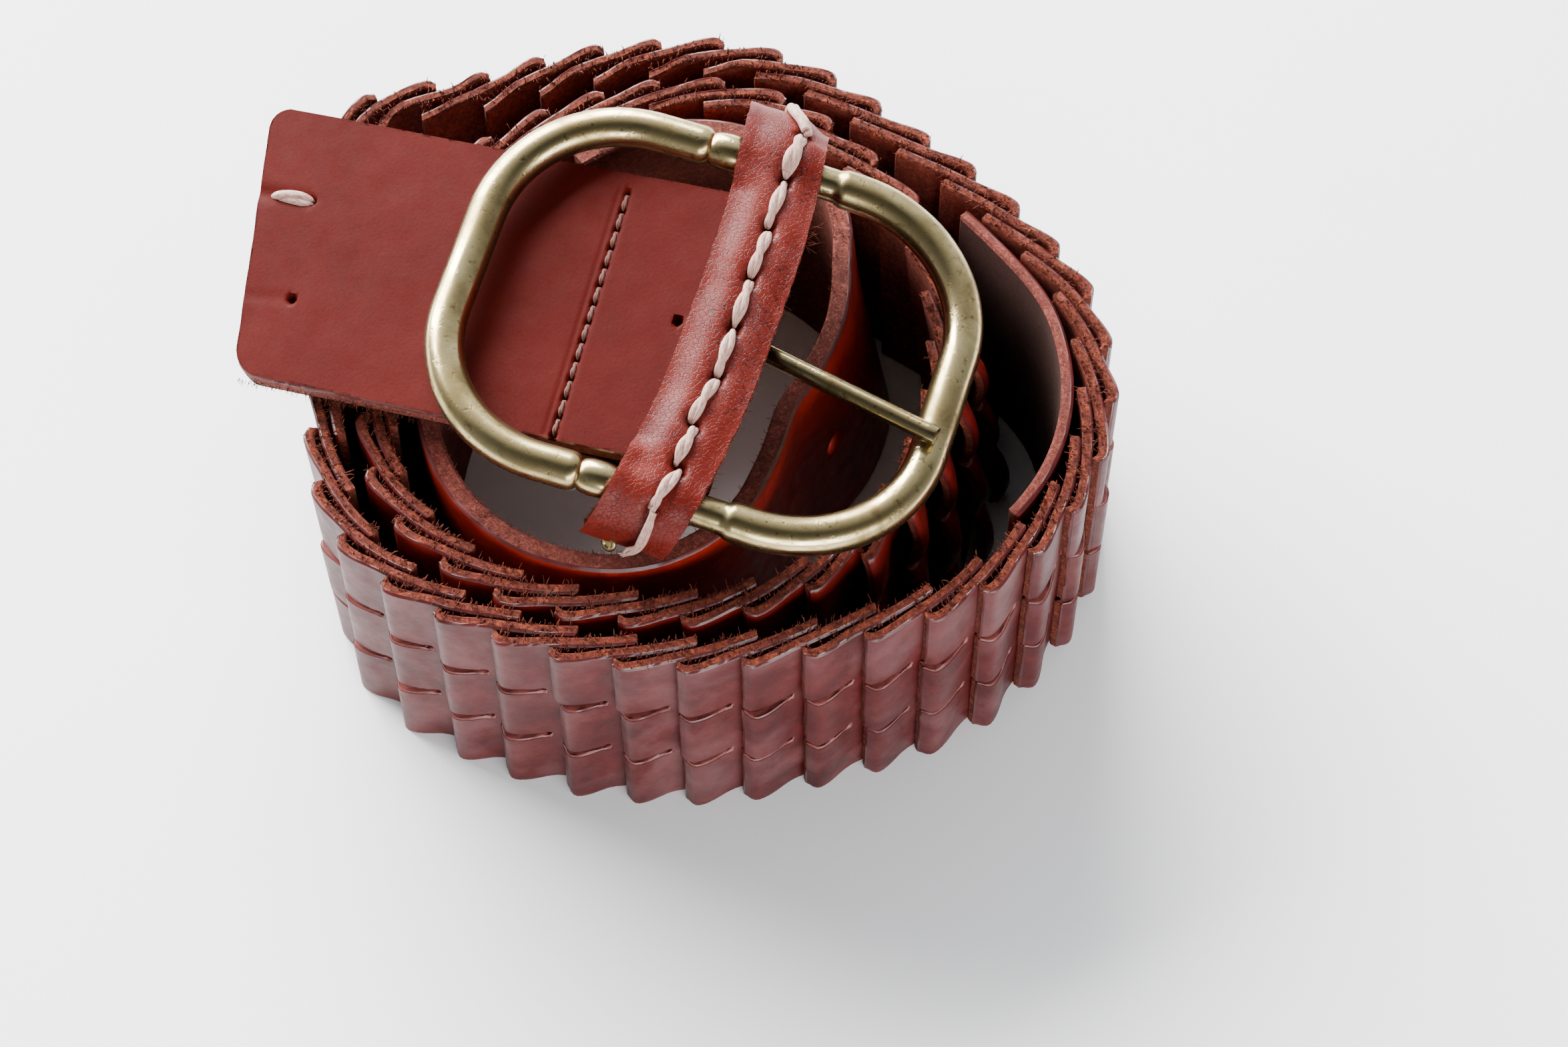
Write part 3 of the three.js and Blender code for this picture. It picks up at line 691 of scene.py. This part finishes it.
def wire_radius(x, y):
    """The wire is thick on both bows and thinner under the wrap."""
    if abs(y) < WIRE_MIDDLE - 0.5 or x > TAPER_END:
        return WIRE_RADIUS
    bead = BEAD_NEAR if y < 0 else BEAD_FAR
    shoulder = bead - BEAD_HALF
    if x < shoulder:
        return GROOVE_RADIUS + (WIRE_RADIUS - GROOVE_RADIUS) * rounded(1 - min((shoulder - x) / 1.3, 1.0))
    if x < bead + 1.9:
        return GROOVE_RADIUS + 0.6 * rounded((x - bead) / BEAD_HALF)
    return NECK_RADIUS + (WIRE_RADIUS - NECK_RADIUS) * smooth(NECK_END, TAPER_END, x)


def buckle():
    build = Build()
    sides = 28
    path, radii = [], []
    for x, y in frame_loop():
        path.append(buckle_point(x, y, frame_height(x)))
        radii.append(wire_radius(x, y) * (1 + 0.012 * rough(path[-1], 6.0, 8.8)))
    count = len(path)
    points, faces = [], []
    for i in range(count):
        way = (path[(i + 1) % count] - path[i - 1]).normalized()
        side = TAB_UP.cross(way).normalized()
        other = way.cross(side)
        for a in spread(0.0, ROUND, sides)[:-1]:
            out = side * math.cos(a) + other * math.sin(a)
            dent = 1 + 0.006 * rough(path[i] + out * 3, 2.2, 4.4)
            points.append(path[i] + out * radii[i] * dent)
        faces += ring_faces(i * sides, ((i + 1) % count) * sides, sides)
    build.add(points, faces, 0)
    over = WIRE_MIDDLE + 2.4
    tube(build, [buckle_point(0, y, BAR_HEIGHT) for y in spread(-over, over, 20)], BAR_RADIUS, sides=24)
    build.make("buckle_wire", [BRASS], replaces="buckle_frame", sharp=60)


buckle()

PRONG_SKEW = math.radians(-13.0)
PRONG_SIDE = 1.0            # the ring's place along the bar
PRONG_RADIUS = 1.25
PRONG_PAST = 2.2            # how far the tip reaches past the middle of the right bow
RING_WIRE = 0.6             # half the ring's thickness; it is rolled flatter than the shank


def prong():
    build = Build()
    inner = BAR_RADIUS + PIECE_GAP
    skew_x, skew_y = math.cos(PRONG_SKEW), math.sin(PRONG_SKEW)

    def at(x, z):
        return buckle_point(x * skew_x, PRONG_SIDE + x * skew_y, BAR_HEIGHT + z)

    middle = inner + RING_WIRE
    circle = [at(middle * math.cos(a), middle * math.sin(a)) for a in spread(0.0, ROUND, 40)]
    tube(build, circle, RING_WIRE, sides=16, caps=False, squash=2.1, up=TAB_AXES @ Vector((0, 1, 0)))
    root = inner + PRONG_RADIUS * 0.6
    tip = END_RIGHT + PRONG_PAST
    rise = frame_height(END_RIGHT) + WIRE_RADIUS + PIECE_GAP + PRONG_RADIUS - BAR_HEIGHT
    path, radii = [], []
    for t in spread(0.0, 1.0, 40):
        path.append(at(root + (tip - root) * t, rise * t))
        radii.append(PRONG_RADIUS * (1 + 0.02 * rough(path[-1], 3.0, 6.1))
                     * (1.0 - 0.10 * smooth(0.985, 1.0, t)))
    tube(build, path, radii, sides=20, up=TAB_UP)
    build.make("prong_rod", [SHADED_PRONG_BRASS], replaces="prong", body="prong", sharp=50)


prong()


# ---- Tab ----

TAB_LENGTH = 62.5
TAB_SIDE = -1.0             # the strap's middle, along the bar
TAB_CORNER = 3.4
END_SKEW = 9.0
LEVEL = -48.0               # left of this the sheet's columns lean over to the skewed end
BACK_LAYER = 19.0
FOLD_RADIUS = BAR_RADIUS + PIECE_GAP + STRAP_THICK / 2
FOLD_LENGTH = math.pi * FOLD_RADIUS
SLOT = (-0.9, 4.9)          # across the strap
SLOT_LEFT = -2.7            # the wrap covers this end
SLOT_RIGHT = FOLD_LENGTH + 5.6
SEAM = ((-16.4, 15.2), (-14.7, -19.5))
SEAM_HOLES = 14
# The seam's groove and the crease beside it: depth, distance from the seam, width
SEAM_LINES = ((0.20, 0.0, 0.5), (0.10, 1.15, 0.3))
SEAM_PIT = (0.42, 0.7)      # radius and depth, here and below
THREAD_HOLE = (-56.6, 5.5)
THREAD_END = (-62.2, 5.4)
AWL_HOLE = (-4.4, -0.9)
AWL_PIT = (0.55, 1.7)
# Lines pressed from two holes towards the end: hole, a point on the way, width, depth
HOLE_LINES = ((THREAD_HOLE, (-65.2, 5.3), 1.0, 0.3), ((-54.1, -8.5), (-61.5, -9.5), 0.9, 0.09))
HOLE_PIT = (0.55, 1.1)


def seam_point(share):
    return [a + (b - a) * share for a, b in zip(*SEAM)]


def beside(x, y, start, end):
    """Distance from the line through two points, and the share of the way along it."""
    dx, dy = end[0] - start[0], end[1] - start[1]
    size = math.hypot(dx, dy)
    t = ((x - start[0]) * dx + (y - start[1]) * dy) / size ** 2
    return ((x - start[0]) * dy - (y - start[1]) * dx) / size, t


def pit(x, y, middle, radius, depth):
    return depth * math.exp(-(math.hypot(x - middle[0], y - middle[1]) / radius) ** 4)


def tab_relief(x, y):
    """How far the grain side of the tab lies below flat: stitch groove, crease, holes and gentle waves."""
    low = 0.13 * rough((x, y, 0), 17.0, 2.0) + 0.05 * rough((x, y, 0), 5.0, 4.0)
    side, t = beside(x, y, *SEAM)
    if -0.01 < t < 1.01 and abs(side) < 3:
        low += sum(deep * math.exp(-((side - away) / width) ** 2) for deep, away, width in SEAM_LINES)
        near = round(t * (SEAM_HOLES - 1)) / (SEAM_HOLES - 1)
        low += pit(x, y, seam_point(near), *SEAM_PIT)
    for hole, towards, width, deep in HOLE_LINES:
        side, t = beside(x, y, hole, towards)
        if 0 < t < 1.4:
            low += deep * math.exp(-(side / width) ** 2)
        low += pit(x, y, hole, *HOLE_PIT)
    return low + pit(x, y, AWL_HOLE, *AWL_PIT)


def tab_end(v):
    """How far left the end lies at that place across the strap, with its rounded corners."""
    end = TAB_LENGTH + END_SKEW * v / BELT_WIDTH
    near = BELT_WIDTH / 2 - abs(v)
    if near < TAB_CORNER:
        end -= TAB_CORNER - math.sqrt(max(0.0, TAB_CORNER ** 2 - (TAB_CORNER - near) ** 2))
    return end + 0.15 * rough((v, 0, 0), 4.0, 6.6)


def tab():
    build = Build()
    half = BELT_WIDTH / 2
    edge = [0.0, 0.08, 0.3, 0.7, 1.3, 2.1]
    vs = [-half + e for e in edge] + spread(-half + 3, half - 3, 72) + [half - e for e in reversed(edge)]
    for limit in SLOT:
        k = min(range(len(vs)), key=lambda k: abs(vs[k] - limit))
        vs[k] = limit
    shares = [0.0, 0.008, 0.03] + spread(0.06, 1.0, 36)
    # Right of LEVEL: where each part ends and its count of columns, finest at the seam
    parts = ((-18.6, 24), (-12.8, 26), (-6.2, 8), (SLOT_LEFT, 16), (0.0, 4), (FOLD_LENGTH, 16),
             (SLOT_RIGHT, 4), (FOLD_LENGTH + BACK_LAYER, 10))
    us = [LEVEL]
    for end, count in parts:
        us += spread(us[-1], end, count)[1:]
    flat = [(LEVEL - (tab_end(v) + LEVEL) * (1 - share), v) for share in shares for v in vs]
    flat += [(u, v) for u in us[1:] for v in vs]
    n = len(vs)
    quads = []
    for i in range(len(flat) // n - 1):
        for j in range(n - 1):
            quad = (i * n + j, (i + 1) * n + j, (i + 1) * n + j + 1, i * n + j + 1)
            u = (flat[quad[0]][0] + flat[quad[1]][0]) / 2
            v = (vs[j] + vs[j + 1]) / 2
            if not (SLOT[0] < v < SLOT[1] and SLOT_LEFT < u < SLOT_RIGHT):
                quads.append(quad)

    def place(u, v, w):
        """u: along the top layer up to 0 over the bar, then round the fold and back under it."""
        y = v + TAB_SIDE
        if u <= 0:
            return buckle_point(u, y, w - STRAP_THICK / 2 - (tab_relief(u, y) if w > 0 else 0.0))
        if u < FOLD_LENGTH:
            a = math.pi / 2 - u / FOLD_RADIUS
            reach = FOLD_RADIUS + w
            return buckle_point(reach * math.cos(a), y, BAR_HEIGHT + reach * math.sin(a))
        x = FOLD_LENGTH - u
        drop = BAR_HEIGHT - FOLD_RADIUS
        top = -STRAP_THICK * 1.5 - PIECE_GAP
        return buckle_point(x, y, drop + (top - drop) * smooth(0.0, 11.0, -x) - w)

    sheet(build, flat, quads, STRAP_THICK, place, bevel=0.4, ragged=0.16)
    build.make("tab_strap", STRAP_LEATHER, replaces="tab")


tab()

PLIES = 2


def twisted(build, at, start, end, thick, turns, dip, lift=0.25, count=30, phase=0.0):
    """One stitch of two twisted strands on a surface. at(x, y, height) gives a point; start and end are
    (x, y). turns: how often they go round each other. dip: how deep the ends go into their holes."""
    across = Vector((end[1] - start[1], start[0] - end[0])).normalized()
    for ply in range(PLIES):
        path, radii = [], []
        for t in spread(0.0, 1.0, count):
            rise = math.sin(math.pi * t) ** 0.5
            turn = ROUND * (turns * t + ply / PLIES) + phase
            apart = thick * 0.72 * (0.45 + 0.55 * rise)
            x, y = (a + (b - a) * t + side * apart * math.cos(turn)
                    for a, b, side in zip(start, end, across))
            h = lift * thick - dip * (1 - rise) + apart * 0.55 * math.sin(turn) + thick * 0.4
            path.append(at(x, y, h))
            radii.append(thick * (0.55 + 0.45 * rise) * (1 + 0.05 * math.sin(9 * t + ply)))
        tube(build, path, radii, sides=12, up=TAB_UP)


def tab_threads():
    seam = Build()
    steps = SEAM_HOLES - 1
    for k in range(steps):
        twisted(seam, lambda x, y, h: buckle_point(x, y, h - 0.30), seam_point((k + 0.06) / steps),
                seam_point((k + 0.94) / steps), 0.2, turns=0.8, dip=0.6, lift=0.5, count=12)
    seam.make("tab_seam", [SEAM_THREAD], sharp=60)
    hand = Build()
    twisted(hand, lambda x, y, h: buckle_point(x, y, h - 0.35), THREAD_HOLE, THREAD_END, 0.62,
            turns=0.3, dip=1.2)
    hand.make("tab_stitch", [THREAD], sharp=60)


tab_threads()


# ---- Wrap ----

# Under side of the strip from its near end to its far end: along the bar, height, its middle to the right
WRAP_PATH = [
    (-28.0, -6.6, -2.1), (-27.6, -4.6, -1.5), (-26.8, -2.0, -0.7), (-25.5, 0.0, 0.0), (-23.9, 0.60, 0.5),
    (-21.8, 0.38, 0.8), (-18.0, 0.32, 1.3), (-12.0, 0.34, 2.0), (1.0, 0.34, 2.4), (14.0, 0.32, 2.3),
    (18.6, 0.06, 2.0), (20.8, 0.12, 1.8), (23.6, 0.62, 1.5), (26.2, 0.20, 1.2), (28.6, -1.0, 0.9),
    (30.0, -2.6, 0.7), (30.2, -5.0, 0.6),
]
WRAP_WIDTH = 10.2
WRAP_THICK = 1.6


def curve_through(rows, count):
    """Evenly spaced points on a smooth curve through rows of numbers, and its length."""
    rows = [Vector(row) for row in rows]
    dense = []
    for i, (p1, p2) in enumerate(zip(rows, rows[1:])):
        p0, p3 = rows[max(i - 1, 0)], rows[min(i + 2, len(rows) - 1)]
        d1, d2, d3 = (max((b - a).length, 1e-6) ** 0.5 for a, b in ((p0, p1), (p1, p2), (p2, p3)))
        m1 = m2 = p2 - p1
        if i:
            m1 = m1 - (p2 - p0) * (d2 / (d1 + d2)) + (p1 - p0) * (d2 / d1)
        if i + 2 < len(rows):
            m2 = m2 - (p3 - p1) * (d2 / (d2 + d3)) + (p3 - p2) * (d2 / d3)
        for t in spread(0.0, 1.0, 24)[:-1]:
            t2, t3 = t * t, t * t * t
            dense.append(p1 * (2 * t3 - 3 * t2 + 1) + m1 * (t3 - 2 * t2 + t)
                         + p2 * (3 * t2 - 2 * t3) + m2 * (t3 - t2))
    dense.append(rows[-1])
    lengths = [0.0]
    for a, b in zip(dense, dense[1:]):
        lengths.append(lengths[-1] + (b - a).length)
    out = []
    j = 0
    for d in spread(0.0, lengths[-1], count):
        while j + 2 < len(lengths) and lengths[j + 1] < d:
            j += 1
        part = (d - lengths[j]) / max(lengths[j + 1] - lengths[j], 1e-9)
        out.append(dense[j].lerp(dense[j + 1], part))
    return out, lengths[-1]


WRAP_POINTS, WRAP_LENGTH = curve_through(WRAP_PATH, 160)

# Running stitches on the wrap: (side, along) at both ends of each
STITCHES = [
    ((3.1, 27.4), (2.7, 21.1)), ((2.9, 20.4), (2.6, 13.9)), ((3.0, 13.1), (2.7, 6.7)),
    ((2.9, 5.9), (2.8, -0.4)), ((2.9, -1.1), (2.8, -7.4)), ((3.0, -8.1), (1.6, -14.3)),
    ((2.4, -15.0), (1.6, -20.2)), ((2.4, -20.9), (0.5, -27.0)),
]
STITCH_PIT = (0.75, 1.3)        # radius and depth at a stitch's ends
STITCH_GROOVE = (1.1, 0.25)     # half width and depth under it
DEEPEST_PIT = 1.35


def wrap_spot(s):
    """The point that far along the strip's under side, and its way in the plane of along and height."""
    last = len(WRAP_POINTS) - 1
    t = min(max(s / WRAP_LENGTH, 0.0), 1.0) * last
    i = min(int(t), last - 1)
    way = WRAP_POINTS[min(i + 2, last)] - WRAP_POINTS[max(i - 1, 0)]
    return WRAP_POINTS[i].lerp(WRAP_POINTS[i + 1], t - i), Vector((way.x, way.y)).normalized()


def stitch_pits(x, y):
    low = 0.0
    for start, end in STITCHES:
        for hole in (start, end):
            low += STITCH_PIT[1] * math.exp(-(math.hypot(x - hole[0], y - hole[1]) / STITCH_PIT[0]) ** 2)
        side, t = beside(x, y, start, end)
        if 0 < t < 1:
            low += STITCH_GROOVE[1] * math.exp(-(side / STITCH_GROOVE[0]) ** 2)
    return min(low, DEEPEST_PIT)


def wrap_shape(s, across, w):
    """A point of the strip. s: along it from its near end; across: from its left edge;
    w: over its under side."""
    here, way = wrap_spot(s)
    y, z, x = here.x - way.y * w, here.y + way.x * w, here.z + across - WRAP_WIDTH / 2
    # Between the side wires the left edge sinks and the middle swells; over them the left edge stands up
    inside = smooth(20.5, 17.5, abs(y))
    z -= inside * smooth(3.6, 0.0, across) * 0.75
    z += 0.22 * math.exp(-((across - 4.6) / 3.4) ** 2)
    z -= 0.45 * smooth(8.0, WRAP_WIDTH, across)
    z += 0.30 * (1 - inside) * smooth(1.6, 0.0, across)
    # The far end's right corner curls in
    y -= 1.3 * smooth(6.5, WRAP_WIDTH, across) * smooth(25.5, 29.0, y)
    z += 0.10 * rough((x, y, 0), 5.0, 9.0)
    if w > 0.5:
        low = stitch_pits(x, y) * smooth(0.5, WRAP_THICK, w)
        y, z = y + way.y * low, z - way.x * low
    return pitched(x, y, z)


def wrap_at(x, y, height):
    """A point over the strip's top, by its place to the right of the bar and along it."""
    low, high = 0.0, WRAP_LENGTH
    for _ in range(24):
        mid = (low + high) / 2
        spot, way = wrap_spot(mid)
        if spot.x - way.y * WRAP_THICK < y:
            low = mid
        else:
            high = mid
    across = x - wrap_spot(low)[0].z + WRAP_WIDTH / 2
    return wrap_shape(low, across, WRAP_THICK + height + stitch_pits(x, y))


def wrap():
    build = Build()
    edge = [0.0, 0.3, 0.8, 1.5]
    vs = edge + spread(2.1, WRAP_WIDTH - 2.1, 30) + [WRAP_WIDTH - e for e in reversed(edge)]
    flat, quads = grid(spread(0.0, WRAP_LENGTH, 230), vs)
    flat = [(u, v + 0.14 * rough((u, 0, v), 1.6, 7.0) * (v > WRAP_WIDTH - 0.5 or v < 0.5)) for u, v in flat]
    # The strip runs from its near end to its far end, so turning each quad keeps the grain side up
    quads = [tuple(reversed(quad)) for quad in quads]
    sheet(build, flat, quads, WRAP_THICK, lambda u, v, w: wrap_shape(u, v, w + WRAP_THICK / 2),
          bevel=0.3, ragged=0.16)
    build.make("wrap_strip", WRAP_LEATHER, replaces="wrap")


wrap()


def wrap_threads():
    """Waxed two-ply thread that dips into a hole at both ends of each stitch."""
    build = Build()
    for n, (start, end) in enumerate(STITCHES):
        twisted(build, wrap_at, start, end, 0.50 if n else 0.64, turns=0.75, dip=1.5, phase=1.1 * n)
    # Over the far edge
    on_top = ((3.2, 27.9, 0.1), (2.4, 28.9, 0.55), (1.4, 29.9, 0.6), (0.7, 30.9, 0.5))
    past_edge = ((0.2, 32.5, -2.2), (0.0, 32.5, -4.6))
    for ply in range(PLIES):
        side = 0.5 * ply
        path = [wrap_at(x + side, y, h) for x, y, h in on_top]
        path += [pitched(x + side, y, z) for x, y, z in past_edge]
        tube(build, smooth_path(path, 6), 0.58, sides=12)
    # The thread's end hangs frayed over the near edge
    dice = random.Random("tail")
    for strand in range(9):
        sway = [dice.uniform(-0.45, 0.45) for _ in range(4)]
        path = [wrap_at(1.0 + 0.4 * sway[0], -26.9, -0.3),
                wrap_at(0.8 + sway[1], -27.9, 0.5 + 0.3 * sway[2]),
                pitched(0.3 + 1.3 * sway[1], -29.9, -3.3 + 0.6 * sway[2]),
                pitched(-0.6 + 1.6 * sway[2], -30.4 + 0.4 * sway[0], -5.0 + 0.8 * sway[3]),
                pitched(-1.6 + 1.8 * sway[3], -30.6 + 0.6 * sway[1], -6.4 + 1.2 * sway[0])]
        tube(build, smooth_path(path, 6), [0.34 - 0.24 * t ** 2 for t in spread(0.0, 1.0, 24)], sides=8)
    build.make("wrap_stitches", [THREAD], sharp=60)


def smooth_path(points, steps):
    """Points on a smooth curve through the given ones."""
    out = []
    for i, (p1, p2) in enumerate(zip(points, points[1:])):
        p0, p3 = points[max(i - 1, 0)], points[min(i + 2, len(points) - 1)]
        for t in spread(0.0, 1.0, steps)[:-1]:
            out.append(0.5 * (2 * p1 + (p2 - p0) * t + (2 * p0 - 5 * p1 + 4 * p2 - p3) * t ** 2
                              + (3 * p1 - p0 - 3 * p2 + p3) * t ** 3))
    out.append(points[-1])
    return out


wrap_threads()


def disc():
    """The small brass ring by the thread's end."""
    build = Build()
    middle = pitched(-3.6, -29.6, -6.6)
    way = (TAB_AXES @ Vector((-0.25, -0.75, 0.6))).normalized()
    across = way.cross(Vector((0, 0, 1))).normalized()
    other = way.cross(across)
    circle = [middle + (across * math.cos(a) + other * math.sin(a)) * 0.78 for a in spread(0.0, ROUND, 24)]
    tube(build, circle, 0.34, sides=10, caps=False, up=way)
    tube(build, [middle - way * 0.22, middle + way * 0.12], [0.6, 0.5], sides=20)
    build.make("wrap_rivet", [BRASS], sharp=50)


disc()


def hair(build, root, way, length, dice, radius=0.05):
    """A loose fibre, rooted a little under the surface and bent at random."""
    bend = Vector([dice.uniform(-1, 1) for _ in range(3)]) * 0.55
    path = [root - way * 0.15, root + way * length * 0.5 + bend * length * 0.25,
            root + way * length + bend * length]
    tube(build, path, [radius, radius * 0.8, radius * 0.4], sides=3)


FIBRES_PER_PLATE = 95
RING_FIBRES, TAB_FIBRES, WRAP_FIBRES, TUFT_FIBRES = 700, 420, 360, 16


def top_hair(build, dice, turn, along, offset, up, lean, longest, radii=None):
    """A fibre on a turn's top edge. up, lean: between what it points up and out."""
    root = turn.place(along, offset, BELT_WIDTH - 0.05)
    out = (turn.place(along, offset + 1.0, BELT_WIDTH) - root).normalized()
    way = (Vector((0, 0, dice.uniform(*up))) + out * dice.uniform(*lean)).normalized()
    hair(build, root, way, dice.uniform(0.2, longest), dice, dice.choice(radii) if radii else 0.05)


def braid_fibres(name, middles):
    """Loose fibres along the plates' top edges."""
    build = Build()
    dice = random.Random(name)
    for middle in middles:
        for _ in range(FIBRES_PER_PLATE):
            u = dice.uniform(0.0, PLATE_LENGTH)
            along = min(max(middle + u - PLATE_LENGTH / 2, 0.02), COIL.length - 0.02)
            offset = PLATE_LEAN * (u / PLATE_LENGTH - 0.5)
            offset += dice.choice((-0.66, -0.66, -0.45, -0.2, 0.1, 0.5))
            top_hair(build, dice, COIL, along, offset, (0.1, 1.0), (-0.9, 0.5), 0.85, (0.05, 0.07, 0.11))
    build.make(name, [RAW_EDGE], sharp=180)


def strap_fibres():
    """Fibres along the billet's top edge, the tab's edges and the wrap's right edge."""
    build = Build()
    dice = random.Random("strap fibres")
    for _ in range(RING_FIBRES):
        along = dice.uniform(0.5, RING.length - 0.5)
        offset = dice.choice((-1.2, -1.1, -0.6, 0.1, 0.8))
        top_hair(build, dice, RING, along, offset, (0.2, 1.0), (-1.2, 0.4), 0.8)
    down = -TAB_UP
    for _ in range(TAB_FIBRES):
        side = dice.choice((-1, -1, 1))
        y = side * BELT_WIDTH / 2 + TAB_SIDE
        root = buckle_point(dice.uniform(-58, -2), y, dice.uniform(-STRAP_THICK, -1.2))
        way = TAB_AXES @ Vector((dice.uniform(-0.4, 0.4), side, 0)) + down * dice.uniform(0.0, 1.0)
        hair(build, root, way.normalized(), dice.uniform(0.2, 0.8), dice)
    for _ in range(WRAP_FIBRES):
        s = dice.uniform(1.0, WRAP_LENGTH - 2.0)
        left = dice.random() < 0.25
        root = wrap_shape(s, 0.0 if left else WRAP_WIDTH, dice.uniform(0.1, 0.9))
        way = TAB_AXES @ Vector((-1 if left else 1, dice.uniform(-0.6, 0.6), dice.uniform(-0.5, 0.5)))
        length = dice.choice((0.3, 0.4, 0.6, 0.9)) * dice.uniform(0.6, 1.2)
        hair(build, root, way.normalized(), length, dice, 0.045)
    # A torn tuft on the wrap's right edge
    for _ in range(TUFT_FIBRES):
        s = dice.uniform(0.685, 0.735) * WRAP_LENGTH
        root = wrap_shape(s, WRAP_WIDTH, 0.5)
        way = TAB_AXES @ Vector((1, dice.uniform(-0.5, 0.5), dice.uniform(-0.4, 0.4)))
        hair(build, root, way.normalized(), dice.uniform(1.0, 2.2), dice, 0.07)
    build.make("strap_fibres", [RAW_EDGE], sharp=180)


strap_fibres()
braid_fibres("braid_outer_fibres", OUTER_PLATES)
braid_fibres("braid_inner_fibres", INNER_PLATES)


# ---- Scene ----

FLOOR_HALF = 4.0            # metres
FLOOR_DROP = 0.00002        # so that it shares no face with the belt


def floor():
    mesh = bpy.data.meshes.new("floor")
    corners = ((-1, -1), (1, -1), (1, 1), (-1, 1))
    points = [(x * FLOOR_HALF, y * FLOOR_HALF, -FLOOR_DROP) for x, y in corners]
    mesh.from_pydata(points, [], [(0, 1, 2, 3)])
    obj = bpy.data.objects.new("floor", mesh)
    bpy.context.scene.collection.objects.link(obj)
    look = Finish("floor_white")
    tone = look.ramp(look.noise(30.0, 3.0), (0.3, (0.90, 0.91, 0.92)), (0.7, (0.92, 0.925, 0.93)))
    look.put(look.nodes["Principled BSDF"], {"Base Color": tone, "Roughness": 0.6})
    mesh.materials.append(look.material)


def area_light(name, place, target, size, power, colour):
    data = bpy.data.lights.new(name, "AREA")
    data.shape = "RECTANGLE"
    data.size, data.size_y = size
    data.energy = power
    data.color = colour
    obj = bpy.data.objects.new(name, data)
    obj.location = place
    obj.rotation_euler = (Vector(target) - Vector(place)).to_track_quat("-Z", "Y").to_euler()
    bpy.context.scene.collection.objects.link(obj)


def surroundings():
    """White light from all round: dim overhead, so the coil's middle stays dark, and strong at the back."""
    world = bpy.data.worlds.new("studio")
    world.use_nodes = True
    nodes, links = world.node_tree.nodes, world.node_tree.links
    split = nodes.new("ShaderNodeSeparateXYZ")
    links.new(nodes.new("ShaderNodeTexCoord").outputs["Generated"], split.inputs["Vector"])
    stronger = nodes.new("ShaderNodeMath")
    stronger.operation = "MAXIMUM"
    for i, (axis, slope, level) in enumerate((("Z", -0.6, 0.62), ("Y", 1.9, 0.26))):
        node = nodes.new("ShaderNodeMath")
        node.operation = "MULTIPLY_ADD"
        links.new(split.outputs[axis], node.inputs[0])
        node.inputs[1].default_value = slope
        node.inputs[2].default_value = level
        links.new(node.outputs[0], stronger.inputs[i])
    links.new(stronger.outputs[0], nodes["Background"].inputs["Strength"])
    nodes["Background"].inputs["Color"].default_value = (0.93, 0.96, 1.0, 1.0)
    bpy.context.scene.world = world


floor()
area_light("window", (-0.55, 0.95, 0.6), (0, 0, 0.02), (1.5, 0.9), 156.0, (1.0, 0.99, 0.98))
area_light("fill", (0.4, -1.0, 0.38), (0, 0, 0.0), (1.4, 0.4), 25.0, (0.97, 0.98, 1.0))
surroundings()

# The camera, fitted to the photograph
ELEVATION = math.radians(62.0)
DISTANCE = 535.0
TARGET = COIL_MIDDLE + Vector((9.10, -5.91, 0.0))
FOCAL_PIXELS = 5973.0
PHOTO_PIXELS = 2349.0       # its width
SENSOR = 36.0

camera = bpy.data.cameras.new("camera")
camera.sensor_width = SENSOR
camera.lens = FOCAL_PIXELS * SENSOR / PHOTO_PIXELS
camera.clip_start = 0.01
camera_object = bpy.data.objects.new("camera", camera)
look = Vector((0.0, math.cos(ELEVATION), -math.sin(ELEVATION)))
camera_object.location = (TARGET - look * DISTANCE) * MM
camera_object.rotation_euler = (math.pi / 2 - ELEVATION, 0.0, 0.0)
bpy.context.scene.collection.objects.link(camera_object)
bpy.context.scene.camera = camera_object
